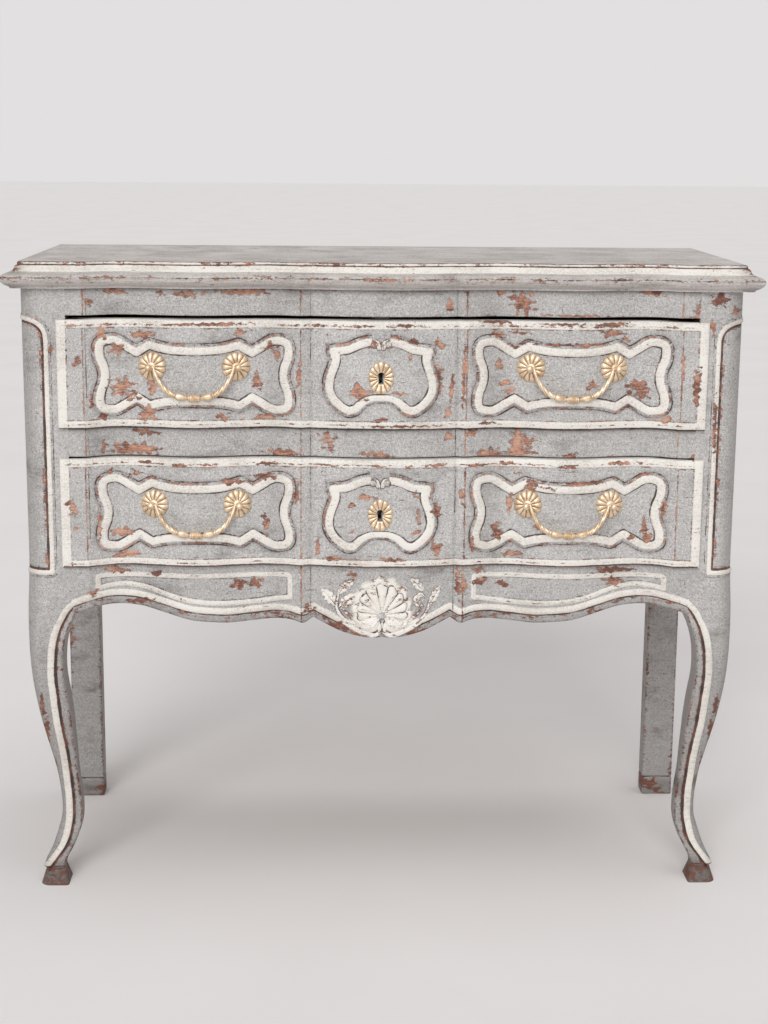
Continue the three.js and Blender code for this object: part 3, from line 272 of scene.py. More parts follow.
@dataclass(frozen=True)
class Serpentine:
    """The plan of the front: how far it lies behind its flat margins."""

    margin: float = 402.0
    outer_trough: float = 354.016
    bulge: float = 254.8745
    inner_trough: float = 155.988
    arris: float = 111.9065
    notch: float = 99.9925
    depths: tuple[float, float, float, float, float] = (18.0, 4.0, 8.0, 12.5, 1.0)

    def set_back(self, x: Array) -> Array:
        """Gives the depth of the face behind the margins.

        Args:
            x: Places across the chest in millimetres.

        Returns:
            The depth at each place.
        """
        trough, bulge, arris, notch, swell = self.depths
        across = np.abs(np.asarray(x, float))

        def part(start: float, stop: float) -> Array:
            """Share of the way outwards from one place to another."""
            return np.clip((across - start) / (stop - start), 0, 1)

        def ease(t: Array) -> Array:
            """Eased share with flat ends."""
            return (1 - np.cos(np.pi * t)) / 2

        swept = trough * np.sin(np.pi / 2 * part(self.margin, self.outer_trough))
        outer = trough + (bulge - trough) * ease(part(self.outer_trough, self.bulge))
        inner = bulge + (trough - bulge) * ease(part(self.bulge, self.inner_trough))
        rise = 1 - np.sin(np.pi / 2 * (1 - part(self.inner_trough, self.arris)))
        shoulder = trough + (arris - trough) * rise
        step = arris + (notch - arris) * part(self.arris, self.notch)
        middle = notch - (notch + swell) * (1 - (across / self.notch) ** 2)
        return np.select(
            [
                across >= self.margin, across >= self.outer_trough, across >= self.bulge,
                across >= self.inner_trough, across >= self.arris, across >= self.notch,
            ],
            [np.zeros_like(across), swept, outer, inner, shoulder, step],
            middle,
        )

    def at(self, x: float) -> float:
        """Depth of the face behind the margins at one place."""
        return float(self.set_back(np.array([x]))[0])

    def slope(self, x: float, near: float = 0.3) -> float:
        """Angle of the face about the upright at one place."""
        ahead, behind = self.set_back(np.array([x + near, x - near]))
        return math.atan((ahead - behind) / (2 * near))


@dataclass(frozen=True)
class Sizes:
    """Sizes of the case that several pieces share, in millimetres."""

    height: float = 880.0
    case_top: float = 844.7
    face_y: float = -180.5
    drawer_face_y: float = -190.5
    rail_back_y: float = -122.5
    back_y: float = 203.5
    outer_half: float = 487.5
    opening_half: float = 425.5
    rail_half: float = 425.6
    lip_half: float = 437.0
    frieze_foot: float = 808.5
    middle_rail: Pair = (617.5, 656.0)
    apron_top: float = 464.0
    leg_height: float = 400.0
    stile_width: float = 62.0
    stile_depth: float = 58.0
    pull_x: float = 254.8745
    key_x: float = -4.0


WAVE = Serpentine()
SIZE = Sizes()


# Paint marks and the bench where a piece is made.


class Coat:
    """Paint marks at a sheet's points: millimetres from cream and dark lines, shares of wear and of
    darkening, which is dirt and painted shade.
    """

    def __init__(self, count: int, worn: float = SOUND) -> None:
        """Starts with sound grey paint everywhere.

        Args:
            count: Number of points.
            worn: Share of wear to start from.
        """
        self.cream = np.full(count, FAR)
        self.dark = np.full(count, FAR)
        self.worn = np.full(count, worn)
        self.dirt = np.zeros(count)

    def bead(self, bead: Bead, offset: Array) -> None:
        """Paints a moulding and its lines.

        Args:
            bead: The moulding.
            offset: Distance of each point from the moulding's line.
        """
        low, high = bead.cream
        self.cream = np.minimum(self.cream, np.maximum(low - offset, offset - high))
        for place, half in bead.dark_lines:
            self.dark = np.minimum(self.dark, np.abs(offset - place) - half)
        for place, half, share in bead.rubbed:
            self.rub(share - 0.5 * np.maximum(np.abs(offset - place) / half - 1, 0))

    def rub(self, share: Array | float) -> None:
        """Wears the paint down to at least a share."""
        self.worn = np.maximum(self.worn, share)

    def soil_and_shade(self, share: Array | float) -> None:
        """Darkens the paint to at least a share, which stands for dirt and for painted shade."""
        self.dirt = np.maximum(self.dirt, share)

    def chip(self, x: Array, z: Array, places: Sequence[Place], share: float = 0.92) -> None:
        """Wears the paint away at listed places.

        Args:
            x: First coordinate of each point.
            z: Second coordinate of each point.
            places: Middle and half sizes of each worn place.
            share: Wear at a place's middle.
        """
        for middle_x, middle_z, half_x, half_z in places:
            reach_x, reach_z = half_x + 1.2, half_z + 1.0
            bent_x = x - middle_x + 0.3 * reach_x * np.sin(z * 0.62 + middle_x)
            bent_z = z - middle_z + 0.34 * reach_z * np.sin(x * 0.5 + middle_z)
            away = (bent_x / reach_x) ** 2 + (bent_z / reach_z) ** 2
            self.rub(share - 0.5 * away)


Shape = Callable[[Array, Array], tuple[Array, Coat | None]]


def ruled(low: float, high: float, step: float, border: Sequence[float] = (0.0,)) -> Array:
    """Spaces the lines of a sheet, with close ones along both borders.

    Args:
        low: Where the sheet begins.
        high: Where it ends.
        step: Widest distance between two lines in the open.
        border: Distances from a border that get a line of their own.

    Returns:
        The places of the lines in order.
    """
    inner_low, inner_high = low + border[-1], high - border[-1]
    count = max(1, math.ceil((inner_high - inner_low) / step))
    middle = np.linspace(inner_low, inner_high, count + 1)
    return np.concatenate([low + np.array(border[:-1]), middle, high - np.array(border[:-1][::-1])])


def drawn_to(lines: Array, places: Sequence[float]) -> Array:
    """Moves the nearest lines of a sheet onto places on both sides of its middle.

    Args:
        lines: The lines' places in order.
        places: Places to the right of the middle.

    Returns:
        The lines after the move.
    """
    moved = lines.copy()
    for place in places:
        for spot in (place, -place):
            moved[np.argmin(np.abs(lines - spot))] = spot
    return moved


class Sheet:
    """A grid of faces moved into a shape, which can get walls, a hole and a back."""

    def __init__(self, us: Array, vs: Array, shape: Shape) -> None:
        """Makes the grid and moves it.

        Args:
            us: Places of its lines in the first direction.
            vs: Places of its lines in the second direction.
            shape: Gives positions in millimetres and paint marks from the grid's own two coordinates.
        """
        self.bm = bmesh.new()
        bmesh.ops.create_grid(self.bm, x_segments=len(us) - 1, y_segments=len(vs) - 1, size=0.5)
        corners = np.array([corner.co[:2] for corner in self.bm.verts])
        columns = np.rint((corners[:, 0] + 0.5) * (len(us) - 1)).astype(int)
        rows = np.rint((corners[:, 1] + 0.5) * (len(vs) - 1)).astype(int)
        places, coat = shape(us[columns], vs[rows])
        coat = coat or Coat(len(places))
        layers = [self.bm.verts.layers.float.new(name) for name in MARKS]
        marks = np.stack([getattr(coat, name) for name in MARKS], axis=1)
        for corner, place, mark in zip(self.bm.verts, (places * MM).tolist(), marks.tolist()):
            corner.co = place
            for layer, value in zip(layers, mark):
                corner[layer] = value

    def pierce(
        self, low: Pair, high: Pair,
        faces: Sequence[BMFace] | None = None, second: int = 2,
    ) -> None:
        """Takes out the faces whose middles lie inside a box.

        Args:
            low: Lowest X and second coordinate in millimetres.
            high: Highest X and second coordinate.
            faces: The faces that may go, or None for all.
            second: Number of the second coordinate: 1 for Y or 2 for Z.
        """
        gone = []
        for face in self.bm.faces if faces is None else faces:
            middle = face.calc_center_median() / MM
            if low[0] < middle.x < high[0] and low[1] < middle[second] < high[1]:
                gone.append(face)
        bmesh.ops.delete(self.bm, geom=gone, context="FACES")

    def grow(self) -> tuple[list[BMVert], list[BMEdge]]:
        """Doubles the open borders, with faces between the two.

        Returns:
            The new borders' corners and edges.
        """
        borders = [edge for edge in self.bm.edges if edge.is_boundary]
        made = bmesh.ops.extrude_edge_only(self.bm, edges=borders)["geom"]
        corners = [part for part in made if isinstance(part, BMVert)]
        return corners, [part for part in made if isinstance(part, BMEdge)]

    def wall(self, y: float, bent: bool = False) -> list[BMEdge]:
        """Draws the borders back.

        Args:
            y: Depth of the walls' far edges, in millimetres.
            bent: Whether they follow the serpentine from there.

        Returns:
            The far edges.
        """
        corners, rim = self.grow()
        for corner in corners:
            corner.co.y = (y + (WAVE.at(corner.co.x / MM) if bent else 0)) * MM
        return rim

    def back(self, y: float) -> None:
        """Draws the borders back to one depth and closes them there."""
        bmesh.ops.contextual_create(self.bm, geom=self.wall(y))

    def close(self, near: float) -> None:
        """Joins the seam of a sheet that was wrapped round, and fills its ends.

        Args:
            near: Distance below which two corners become one, in millimetres.
        """
        bmesh.ops.remove_doubles(self.bm, verts=self.bm.verts, dist=near * MM)
        rims = [edge for edge in self.bm.edges if edge.is_boundary]
        bmesh.ops.holes_fill(self.bm, edges=rims, sides=0)

    def sink(self, low: Pair, high: Pair, roof: float) -> None:
        """Sinks a pocket into the level underside of a closed sheet.

        Args:
            low: Lowest X and Y of the pocket in millimetres.
            high: Highest X and Y.
            roof: Height of its roof.
        """
        foot = min(corner.co.z for corner in self.bm.verts)
        for axis, place in ((0, low[0]), (0, high[0]), (1, low[1]), (1, high[1])):
            across = Vector((0, 0, 0))
            across[axis] = 1
            under = self.level_faces(foot)
            parts = dict.fromkeys(part for face in under for part in (face, *face.edges, *face.verts))
            bmesh.ops.bisect_plane(
                self.bm, geom=list(parts), dist=0.01 * MM, plane_co=across * place * MM, plane_no=across
            )
        self.pierce(low, high, self.level_faces(foot), 1)
        corners, rim = self.grow()
        for corner in corners:
            corner.co.z = roof * MM
        bmesh.ops.contextual_create(self.bm, geom=rim)

    def level_faces(self, height: float) -> list[BMFace]:
        """Finds the faces that lie level at a height, given in metres."""
        near = 0.01 * MM
        return [face for face in self.bm.faces if all(abs(c.co.z - height) < near for c in face.verts)]


class Bench:
    """A piece in the making: sheets, turned shapes and carried solids are gathered into one mesh."""

    def __init__(self, name: str) -> None:
        """Starts an empty piece.

        Args:
            name: Name of the finished piece.
        """
        self.name = name
        self.bm = bmesh.new()
        for mark in MARKS:
            self.bm.verts.layers.float.new(mark)

    def gather(self, part: BMesh, move: Matrix | None = None) -> None:
        """Adds a part's mesh to the piece.

        Args:
            part: The part, which is used up.
            move: Where the part goes, or None if it is in place.
        """
        if move is not None:
            bmesh.ops.transform(part, matrix=move, verts=part.verts)
            if move.determinant() < 0:
                bmesh.ops.reverse_faces(part, faces=part.faces)
        for name in MARKS:
            if name not in part.verts.layers.float:
                layer = part.verts.layers.float.new(name)
                for corner in part.verts:
                    corner[layer] = EMPTY[name]
        mesh = bpy.data.meshes.new("part")
        part.to_mesh(mesh)
        part.free()
        self.bm.from_mesh(mesh)
        bpy.data.meshes.remove(mesh)

    def turn(self, profile: Sequence[Pair], steps: int, move: Matrix) -> None:
        """Adds a turned shape.

        Args:
            profile: Radius and height of each point, in millimetres.
            steps: Number of steps round.
            move: From the lathe, which turns about Z, to the shape's place.
        """
        part = bmesh.new()
        points = [part.verts.new((radius * MM, 0, high * MM)) for radius, high in profile]
        edges = [part.edges.new(pair) for pair in zip(points[:-1], points[1:])]
        bmesh.ops.spin(
            part, geom=[*points, *edges], cent=(0, 0, 0), axis=(0, 0, 1), angle=2 * math.pi,
            steps=steps, use_merge=True,
        )
        bmesh.ops.remove_doubles(part, verts=part.verts, dist=0.005 * MM)
        bmesh.ops.recalc_face_normals(part, faces=part.faces)
        self.gather(part, move)

    def carry(self, node: str, edge: float, inset: float, press: float | None = None) -> None:
        """Adds a solid of the frame with its edges eased.

        Args:
            node: The solid's name.
            edge: Width of the eased edges in millimetres.
            inset: Width of the worn margin inside each large face, or zero for none.
            press: Depth at the margins of a serpentine that the solid is pressed behind, or None.
        """
        part = bmesh.new()
        part.from_mesh(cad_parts[node].data)
        bmesh.ops.remove_doubles(part, verts=part.verts, dist=0.01 * MM)
        if press is None:
            bmesh.ops.dissolve_limit(part, angle_limit=math.radians(0.5), verts=part.verts, edges=part.edges)
        layer = part.verts.layers.float.new("worn")
        for corner in part.verts:
            corner[layer] = HANDLED if press is None else SOUND
            if press is not None:
                corner.co.y = max(corner.co.y, (press + WAVE.at(corner.co.x / MM)) * MM)
        if edge:
            bend = math.radians(30)
            sharp = [line for line in part.edges if line.is_manifold and line.calc_face_angle(0) > bend]
            bmesh.ops.bevel(
                part, geom=sharp, offset=edge * MM, offset_type="OFFSET", segments=2, profile=0.5,
                affect="EDGES", clamp_overlap=True, material=-1,
            )
        if inset:
            large = [face for face in part.faces if face.calc_area() > (12 * inset * MM) ** 2 / 4]
            bmesh.ops.inset_individual(part, faces=large, thickness=inset * MM, use_even_offset=True)
            for face in large:
                for corner in face.verts:
                    corner[layer] = SOUND
        self.gather(part)

    def finish(
        self, body: str, finish: "Finish", nodes: Sequence[str] = (), angle: float = 38.0,
        closed: bool = True,
    ) -> bpy.types.Object:
        """Turns the gathered mesh into a dressed piece that rides on a body.

        Args:
            body: The body it moves with.
            finish: What it is dressed in.
            nodes: Solids of the frame that it stands for.
            angle: Edges sharper than this many degrees stay sharp.
            closed: Whether its faces are turned outwards as a closed shape's.

        Returns:
            The finished piece.
        """
        bmesh.ops.remove_doubles(self.bm, verts=self.bm.verts, dist=0.004 * MM)
        if closed:
            bmesh.ops.recalc_face_normals(self.bm, faces=self.bm.faces)
        mesh = bpy.data.meshes.new(self.name)
        self.bm.to_mesh(mesh)
        self.bm.free()
        mesh.shade_smooth()
        mesh.set_sharp_from_angle(angle=math.radians(angle))
        piece = bpy.data.objects.new(self.name, mesh)
        bpy.context.scene.collection.objects.link(piece)
        mesh.materials.append(finish.material())
        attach(piece, body)
        if nodes:
            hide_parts(*nodes)
        LOG.info("%s: %d faces on %s", self.name, len(mesh.polygons), body)
        return piece


# Shaders.


class Value:
    """A number that varies over a surface: sums and products with it add their nodes."""

    def __init__(self, nodes: "Nodes", socket: NodeSocket) -> None:
        """Wraps a socket.

        Args:
            nodes: The tree that the socket belongs to.
            socket: The output that gives the number.
        """
        self.nodes = nodes
        self.socket = socket

    def __add__(self, other: "Value | float") -> "Value":
        """Sum."""
        return self.nodes.math("ADD", self, other)

    __radd__ = __add__

    def __mul__(self, other: "Value | float") -> "Value":
        """Product."""
        return self.nodes.math("MULTIPLY", self, other)

    __rmul__ = __mul__

    def __sub__(self, other: "Value | float") -> "Value":
        """Difference."""
        return self.nodes.math("SUBTRACT", self, other)

    def __rsub__(self, other: float) -> "Value":
        """Difference from a number."""
        return self.nodes.math("SUBTRACT", other, self)

    def least(self, other: "Value | float") -> "Value":
        """The smaller of two."""
        return self.nodes.math("MINIMUM", self, other)

    def most(self, other: "Value | float") -> "Value":
        """The larger of two."""
        return self.nodes.math("MAXIMUM", self, other)

    def step(self, start: float, stop: float) -> "Value":
        """Goes smoothly from 0 to 1 between two values.

        Args:
            start: Value that gives 0.
            stop: Value that gives 1.

        Returns:
            The share between them.
        """
        settings = {"interpolation_type": "SMOOTHSTEP", "clamp": True}
        sockets = {"Value": self, "From Min": start, "From Max": stop}
        return Value(self.nodes, self.nodes.node("ShaderNodeMapRange", settings, sockets).outputs["Result"])


class Nodes:
    """A node tree that nodes are added to through one call."""

    def __init__(self, tree: bpy.types.NodeTree) -> None:
        """Takes up a tree."""
        self.tree = tree

    def plug(self, node: bpy.types.Node, name: str | int, value: object) -> None:
        """Sets or links one input of a node.

        Args:
            node: The node.
            name: The input's name or number.
            value: A number, a colour or a link.
        """
        if isinstance(value, Value):
            value = value.socket
        if isinstance(value, NodeSocket):
            self.tree.links.new(value, node.inputs[name])
        else:
            node.inputs[name].default_value = value

    def node(self, kind: str, settings: dict, sockets: dict) -> bpy.types.Node:
        """Adds a node.

        Args:
            kind: The node's type.
            settings: What it is set to, and the stops of a ramp.
            sockets: Values or links of its inputs, by name or number.

        Returns:
            The node.
        """
        made = self.tree.nodes.new(kind)
        for name, setting in settings.items():
            if name == "stops":
                elements = made.color_ramp.elements
                while len(elements) < len(setting):
                    elements.new(0.5)
                for element, (place, tone) in zip(elements, setting):
                    element.position, element.color = place, tone
            else:
                setattr(made, name, setting)
        for name, value in sockets.items():
            self.plug(made, name, value)
        return made

    def math(self, operation: str, *terms: Value | float) -> Value:
        """Adds one Math node.

        Args:
            operation: What it works out.
            terms: Its inputs.

        Returns:
            The result.
        """
        made = self.node("ShaderNodeMath", {"operation": operation}, dict(enumerate(terms)))
        return Value(self, made.outputs[0])


class Mixer(Nodes):
    """One material's nodes, with the patterns and mixtures that the finishes use."""

    def __init__(self, name: str) -> None:
        """Starts a material with one surface shader.

        Args:
            name: The material's name.
        """
        self.material = bpy.data.materials.new(name)
        self.material.use_nodes = True
        super().__init__(self.material.node_tree)
        self.surface = self.tree.nodes["Principled BSDF"]
        self.places = self.node("ShaderNodeTexCoord", {}, {}).outputs["Object"]

    def mark(self, name: str) -> Value:
        """Reads a paint mark of the piece."""
        out = self.node("ShaderNodeAttribute", {"attribute_name": name}, {})
        return Value(self, out.outputs["Fac"])

    def noise(
        self, size: float, detail: float = 2.0, rough: float = 0.55,
        stretch: Triple = (1, 1, 1), shift: float = 0.0,
    ) -> Value:
        """Adds a cloudy pattern.

        Args:
            size: Size of its largest forms in millimetres.
            detail: How many finer layers it has.
            rough: Strength of each finer layer.
            stretch: How much longer its forms are along each direction.
            shift: Moves the pattern, so that two of one size differ.

        Returns:
            The pattern, about one half on average.
        """
        places = self.node(
            "ShaderNodeMapping", {"vector_type": "POINT"},
            {
                "Vector": self.places, "Location": (shift, shift * 0.7, shift * 1.3),
                "Scale": tuple(1 / part for part in stretch),
            },
        )
        sockets = {
            "Vector": places.outputs[0], "Scale": 1 / (size * MM), "Detail": detail, "Roughness": rough
        }
        return Value(self, self.node("ShaderNodeTexNoise", {}, sockets).outputs["Fac"])

    def ramp(self, value: Value, stops: Sequence[tuple[float, tuple]]) -> NodeSocket:
        """Turns a number into a colour.

        Args:
            value: The number.
            stops: Places on the scale and their colours.

        Returns:
            The colour.
        """
        return self.node("ShaderNodeValToRGB", {"stops": stops}, {"Fac": value}).outputs["Color"]

    def mix(
        self, share: Value | float, first: object, second: object, blend: str = "MIX"
    ) -> NodeSocket:
        """Mixes two colours.

        Args:
            share: Share of the second colour.
            first: First colour or its socket.
            second: Second colour or its socket.
            blend: How they are mixed.

        Returns:
            The mixed colour.
        """
        settings = {"data_type": "RGBA", "blend_type": blend, "clamp_factor": True}
        return self.node("ShaderNodeMix", settings, {0: share, 6: first, 7: second}).outputs[2]

    def bump(self, height: Value, strength: float) -> None:
        """Raises the surface by a height in millimetres."""
        sockets = {"Strength": strength, "Distance": MM, "Height": height}
        self.feed("Normal", self.node("ShaderNodeBump", {}, sockets).outputs["Normal"])

    def feed(self, name: str, value: object) -> None:
        """Feeds one input of the surface shader."""
        self.plug(self.surface, name, value)


class Finish:
    """What a piece is dressed in: a material made once, and the name of a slot."""

    name: str
    slot: str
    made: dict[str, bpy.types.Material] = {}

    def material(self) -> bpy.types.Material:
        """Gives the finish's material, making it on first use.

        Returns:
            The material.
        """
        if self.name not in Finish.made:
            mixer = Mixer(self.name)
            self.lay(mixer)
            Finish.made[self.name] = mixer.material
        return Finish.made[self.name]

    def lay(self, mixer: Mixer) -> None:
        """Lays the finish's nodes."""
        raise NotImplementedError


@dataclass(frozen=True)
class WornPaint(Finish):
    """Sanded grey paint with cream mouldings, dark lines and worn places that show the wood."""

    name: str = "worn grey paint"
    slot: str = "grey_paint"
    shade: tuple = colour(152, 150, 149)
    ground: tuple = colour(183, 181, 179)
    light: tuple = colour(222, 220, 218)
    cream: tuple = colour(237, 233, 226)
    cream_shade: tuple = colour(206, 199, 190)
    line: tuple = colour(66, 48, 44)
    # Colour multiplied in for dirt and for painted shade.
    grime_and_shade: tuple = colour(142, 135, 131)
    bare: tuple = colour(184, 133, 110)
    bare_pale: tuple = colour(206, 164, 141)
    bare_deep: tuple = colour(112, 70, 57)
    grain: Triple = (9, 9, 1)
    streak: float = 0.0
    # Strength of the painted shade that darkens the paint towards the floor.
    soil_and_shade: float = 0.24

    def lay(self, mixer: Mixer) -> None:
        """Lays paint over wood, worn by the piece's marks.

        Args:
            mixer: The material in the making.
        """
        fine = mixer.noise(1.4, 2, 0.8)
        fleck = mixer.noise(2.8, 3, 0.85, shift=3.1)
        cloud = mixer.noise(85, 4, 0.6, shift=1.7)
        brush = mixer.noise(2.6, 3, 0.6, (22, 22, 1), shift=0.4)
        sand = fine * 0.5 + fleck * 0.5
        tone = sand + (cloud - 0.5) * 0.14 + (brush - 0.5) * (0.08 + self.streak)
        paint = mixer.ramp(tone, [(0.39, self.shade), (0.485, self.ground), (0.6, self.light)])
        grime_at = mixer.noise(46, 5, 0.72, (2, 2, 1), shift=14.2).step(0.51, 0.72)
        height = Value(mixer, mixer.node("ShaderNodeSeparateXYZ", {}, {0: mixer.places}).outputs["Z"])
        # Painted shade: paint and wood darken below about half a metre, most near the floor, standing in for
        # light that falls off downwards.
        low = (height + (cloud - 0.5) * 0.1).step(0.46, 0.2)
        # The darkening mark brings the pieces' dirt and painted shade.
        soiled_and_shaded = mixer.mark("dirt") * ((fleck - 0.5) * 2.4 + (cloud - 0.5) * 1.4 + 1)
        grime_and_shade_share = (grime_at * 0.42 + low * self.soil_and_shade + soiled_and_shaded).least(1)
        grimed_and_shaded = mixer.mix(grime_and_shade_share, paint, self.grime_and_shade, "MULTIPLY")
        ragged = mixer.noise(6, 4, 0.75, shift=5.2)
        cream_at = (mixer.mark("cream") + (ragged - 0.5) * 2.6).step(0.35, -0.3)
        bright = (brush * 0.14 + fleck * 0.5 + cloud * 0.36 - soiled_and_shaded * 0.14).step(0.38, 0.53)
        cream = mixer.mix(bright, self.cream_shade, self.cream)
        dull_cream = mixer.mix((soiled_and_shaded * 0.4).least(0.8), cream, self.grime_and_shade, "MULTIPLY")
        coated = mixer.mix(cream_at, grimed_and_shaded, dull_cream)
        presence = mixer.noise(26, 4, 0.7, shift=7.3)
        waver = mixer.noise(4.5, 3, 0.75, shift=2.2)
        line_near = mixer.mark("dark") + (waver - 0.5) * 1.6 - (presence - 0.47) * 2.6
        line_at = line_near.step(0.35, -0.2)
        line_tone = mixer.mix(presence.step(0.42, 0.55), self.bare_deep, self.line)
        lined = mixer.mix(line_at * 0.94, coated, line_tone)
        large = mixer.noise(16, 7, 0.8, (1.8, 1.8, 1), shift=9.4)
        small = mixer.noise(4.6, 5, 0.85, (1.8, 1.8, 1), shift=4.8)
        over = mixer.mark("worn") - ((large * 0.5 + small * 0.5 - 0.5) * 5.4 + 0.5)
        worn_at = over.step(0.0, 0.05)
        wood_grain = mixer.noise(1.6, 4, 0.65, self.grain, shift=6.6)
        wood_tone = mixer.noise(40, 4, 0.7, shift=8.8) * 0.55 + wood_grain * 0.3 + fleck * 0.15
        wood_tone = wood_tone - cream_at * 0.045 - low * 0.05 - mixer.mark("dirt") * 0.15
        stops = [(0.42, self.bare_deep), (0.49, self.bare), (0.56, self.bare_pale)]
        rim = (1 - over.step(0.02, 0.4)) * mixer.noise(22, 3, 0.7, shift=19.0).step(0.4, 0.52)
        wood = mixer.mix(rim * 0.85, mixer.ramp(wood_tone, stops), self.bare_deep)
        worn = mixer.mix(worn_at * 0.95, lined, wood)
        crowd = mixer.noise(60, 3, 0.6, shift=11.0).step(0.42, 0.66)
        speck = mixer.noise(2.6, 2, 0.6, (1.6, 1.6, 1), shift=12.3) + crowd * 0.05 - cream_at * 0.02
        scratch = mixer.noise(1.5, 2, 0.5, (14, 14, 1), shift=16.1) + crowd * 0.05
        chips = speck.step(0.71, 0.74).most(scratch.step(0.74, 0.76)) * 0.85
        mixer.feed("Base Color", mixer.mix(chips, worn, self.bare_deep))
        mixer.feed("Roughness", 0.58 + fine * 0.14 + worn_at * 0.12 - cream_at * 0.06)
        mixer.feed("Specular IOR Level", 0.3)
        relief = sand * 0.34 + brush * 0.14 + cream_at * 0.16 + wood_grain * worn_at * 0.12
        mixer.bump(relief - worn_at * 0.3 - line_at * 0.4 - chips * 0.2, 0.85)


@dataclass(frozen=True)
class Wood(Finish):
    """Plain sawn and planed wood with long grain."""

    name: str = "bare drawer wood"
    slot: str = "bare_wood"
    light: tuple = colour(201, 168, 126)
    middle: tuple = colour(176, 138, 96)
    deep: tuple = colour(134, 98, 63)
    along: Triple = (14, 14, 1)

    def lay(self, mixer: Mixer) -> None:
        """Lays growth rings, pores and stains.

        Args:
            mixer: The material in the making.
        """
        rings = mixer.noise(14, 5, 0.6, self.along, shift=2.0)
        pores = mixer.noise(1.3, 3, 0.7, self.along, shift=5.0)
        stain = mixer.noise(130, 3, 0.6, shift=8.0)
        tone = rings * 0.55 + pores * 0.3 + stain * 0.15
        stops = [(0.38, self.deep), (0.5, self.middle), (0.62, self.light)]
        mixer.feed("Base Color", mixer.ramp(tone, stops))
        mixer.feed("Roughness", 0.62 + pores * 0.2)
        mixer.feed("Specular IOR Level", 0.25)
        mixer.bump(pores * 0.25 + rings * 0.2, 0.7)


@dataclass(frozen=True)
class Brass(Finish):
    """Old gilded brass: soft gold, darker in its hollows, rubbed bright on its high places."""

    name: str = "gilded brass"
    slot: str = "gilded_brass"
    bright: tuple = colour(248, 234, 214)
    gold: tuple = colour(226, 199, 165)
    dull: tuple = colour(180, 148, 116)
    dirt: tuple = colour(112, 84, 58)

    def lay(self, mixer: Mixer) -> None:
        """Lays the metal and the dirt in its hollows.

        Args:
            mixer: The material in the making.
        """
        fine = mixer.noise(1.2, 3, 0.65)
        patch = mixer.noise(9, 4, 0.65, shift=3.0)
        hollow = mixer.mark("dark").step(0.9, 0.05)
        tone = fine * 0.4 + patch * 0.6
        metal = mixer.ramp(tone, [(0.34, self.dull), (0.48, self.gold), (0.64, self.bright)])
        mixer.feed("Base Color", mixer.mix(hollow * 0.62, metal, self.dirt))
        mixer.feed("Metallic", 0.6 - hollow * 0.3)
        mixer.feed("Roughness", 0.34 + fine * 0.18 + hollow * 0.25)
        mixer.bump(fine * 0.12 + patch * 0.1, 0.6)


@dataclass(frozen=True)
class Iron(Finish):
    """Dark iron with a worn sheen and brown bloom."""

    name: str = "dark iron"
    slot: str = "dark_iron"
    dark: tuple = colour(92, 88, 86)
    pale: tuple = colour(150, 146, 142)
    rust: tuple = colour(104, 72, 54)

    def lay(self, mixer: Mixer) -> None:
        """Lays the metal and its rust.

        Args:
            mixer: The material in the making.
        """
        fine = mixer.noise(1.0, 4, 0.7)
        bloom = mixer.noise(11, 4, 0.7, shift=4.0)
        steel = mixer.ramp(fine, [(0.35, self.dark), (0.65, self.pale)])
        rusty = bloom.step(0.5, 0.64)
        mixer.feed("Base Color", mixer.mix(rusty * 0.7, steel, self.rust))
        mixer.feed("Metallic", 0.8 - rusty * 0.6)
        mixer.feed("Roughness", 0.42 + rusty * 0.3 + fine * 0.1)
        mixer.bump(fine * 0.1 + rusty * 0.12, 0.7)


@dataclass(frozen=True)
class PaleFloor(Finish):
    """The studio's pale floor."""

    name: str = "pale floor"
    slot: str = ""
    low: tuple = colour(236, 233, 233)
    high: tuple = colour(240, 237, 237)

    def lay(self, mixer: Mixer) -> None:
        """Lays a faintly clouded white.

        Args:
            mixer: The material in the making.
        """
        cloud = mixer.noise(400, 3, 0.5)
        mixer.feed("Base Color", mixer.ramp(cloud, [(0.3, self.low), (0.7, self.high)]))
        mixer.feed("Roughness", 0.9)
        mixer.feed("Specular IOR Level", 0.1)


GREY = WornPaint()
TOP = WornPaint(
    name="top paint", slot="top_paint", shade=colour(167, 162, 158), ground=colour(191, 185, 181),
    light=colour(214, 208, 204), streak=0.3, grain=(16, 1, 1),
)
SIDE_WOOD = Wood(name="drawer side wood", along=(1, 14, 1))
BOX_WOOD = Wood(name="drawer back wood", along=(14, 1, 1))
BACK_WOOD = Wood(
    name="back wood", slot="back_wood", light=colour(166, 131, 98), middle=colour(138, 104, 75),
    deep=colour(100, 72, 50), along=(14, 1, 1),
)
BRASS = Brass()
IRON = Iron()
STEEL = Iron(name="rubbed steel", dark=colour(188, 184, 180), pale=colour(232, 228, 224))


# The case.


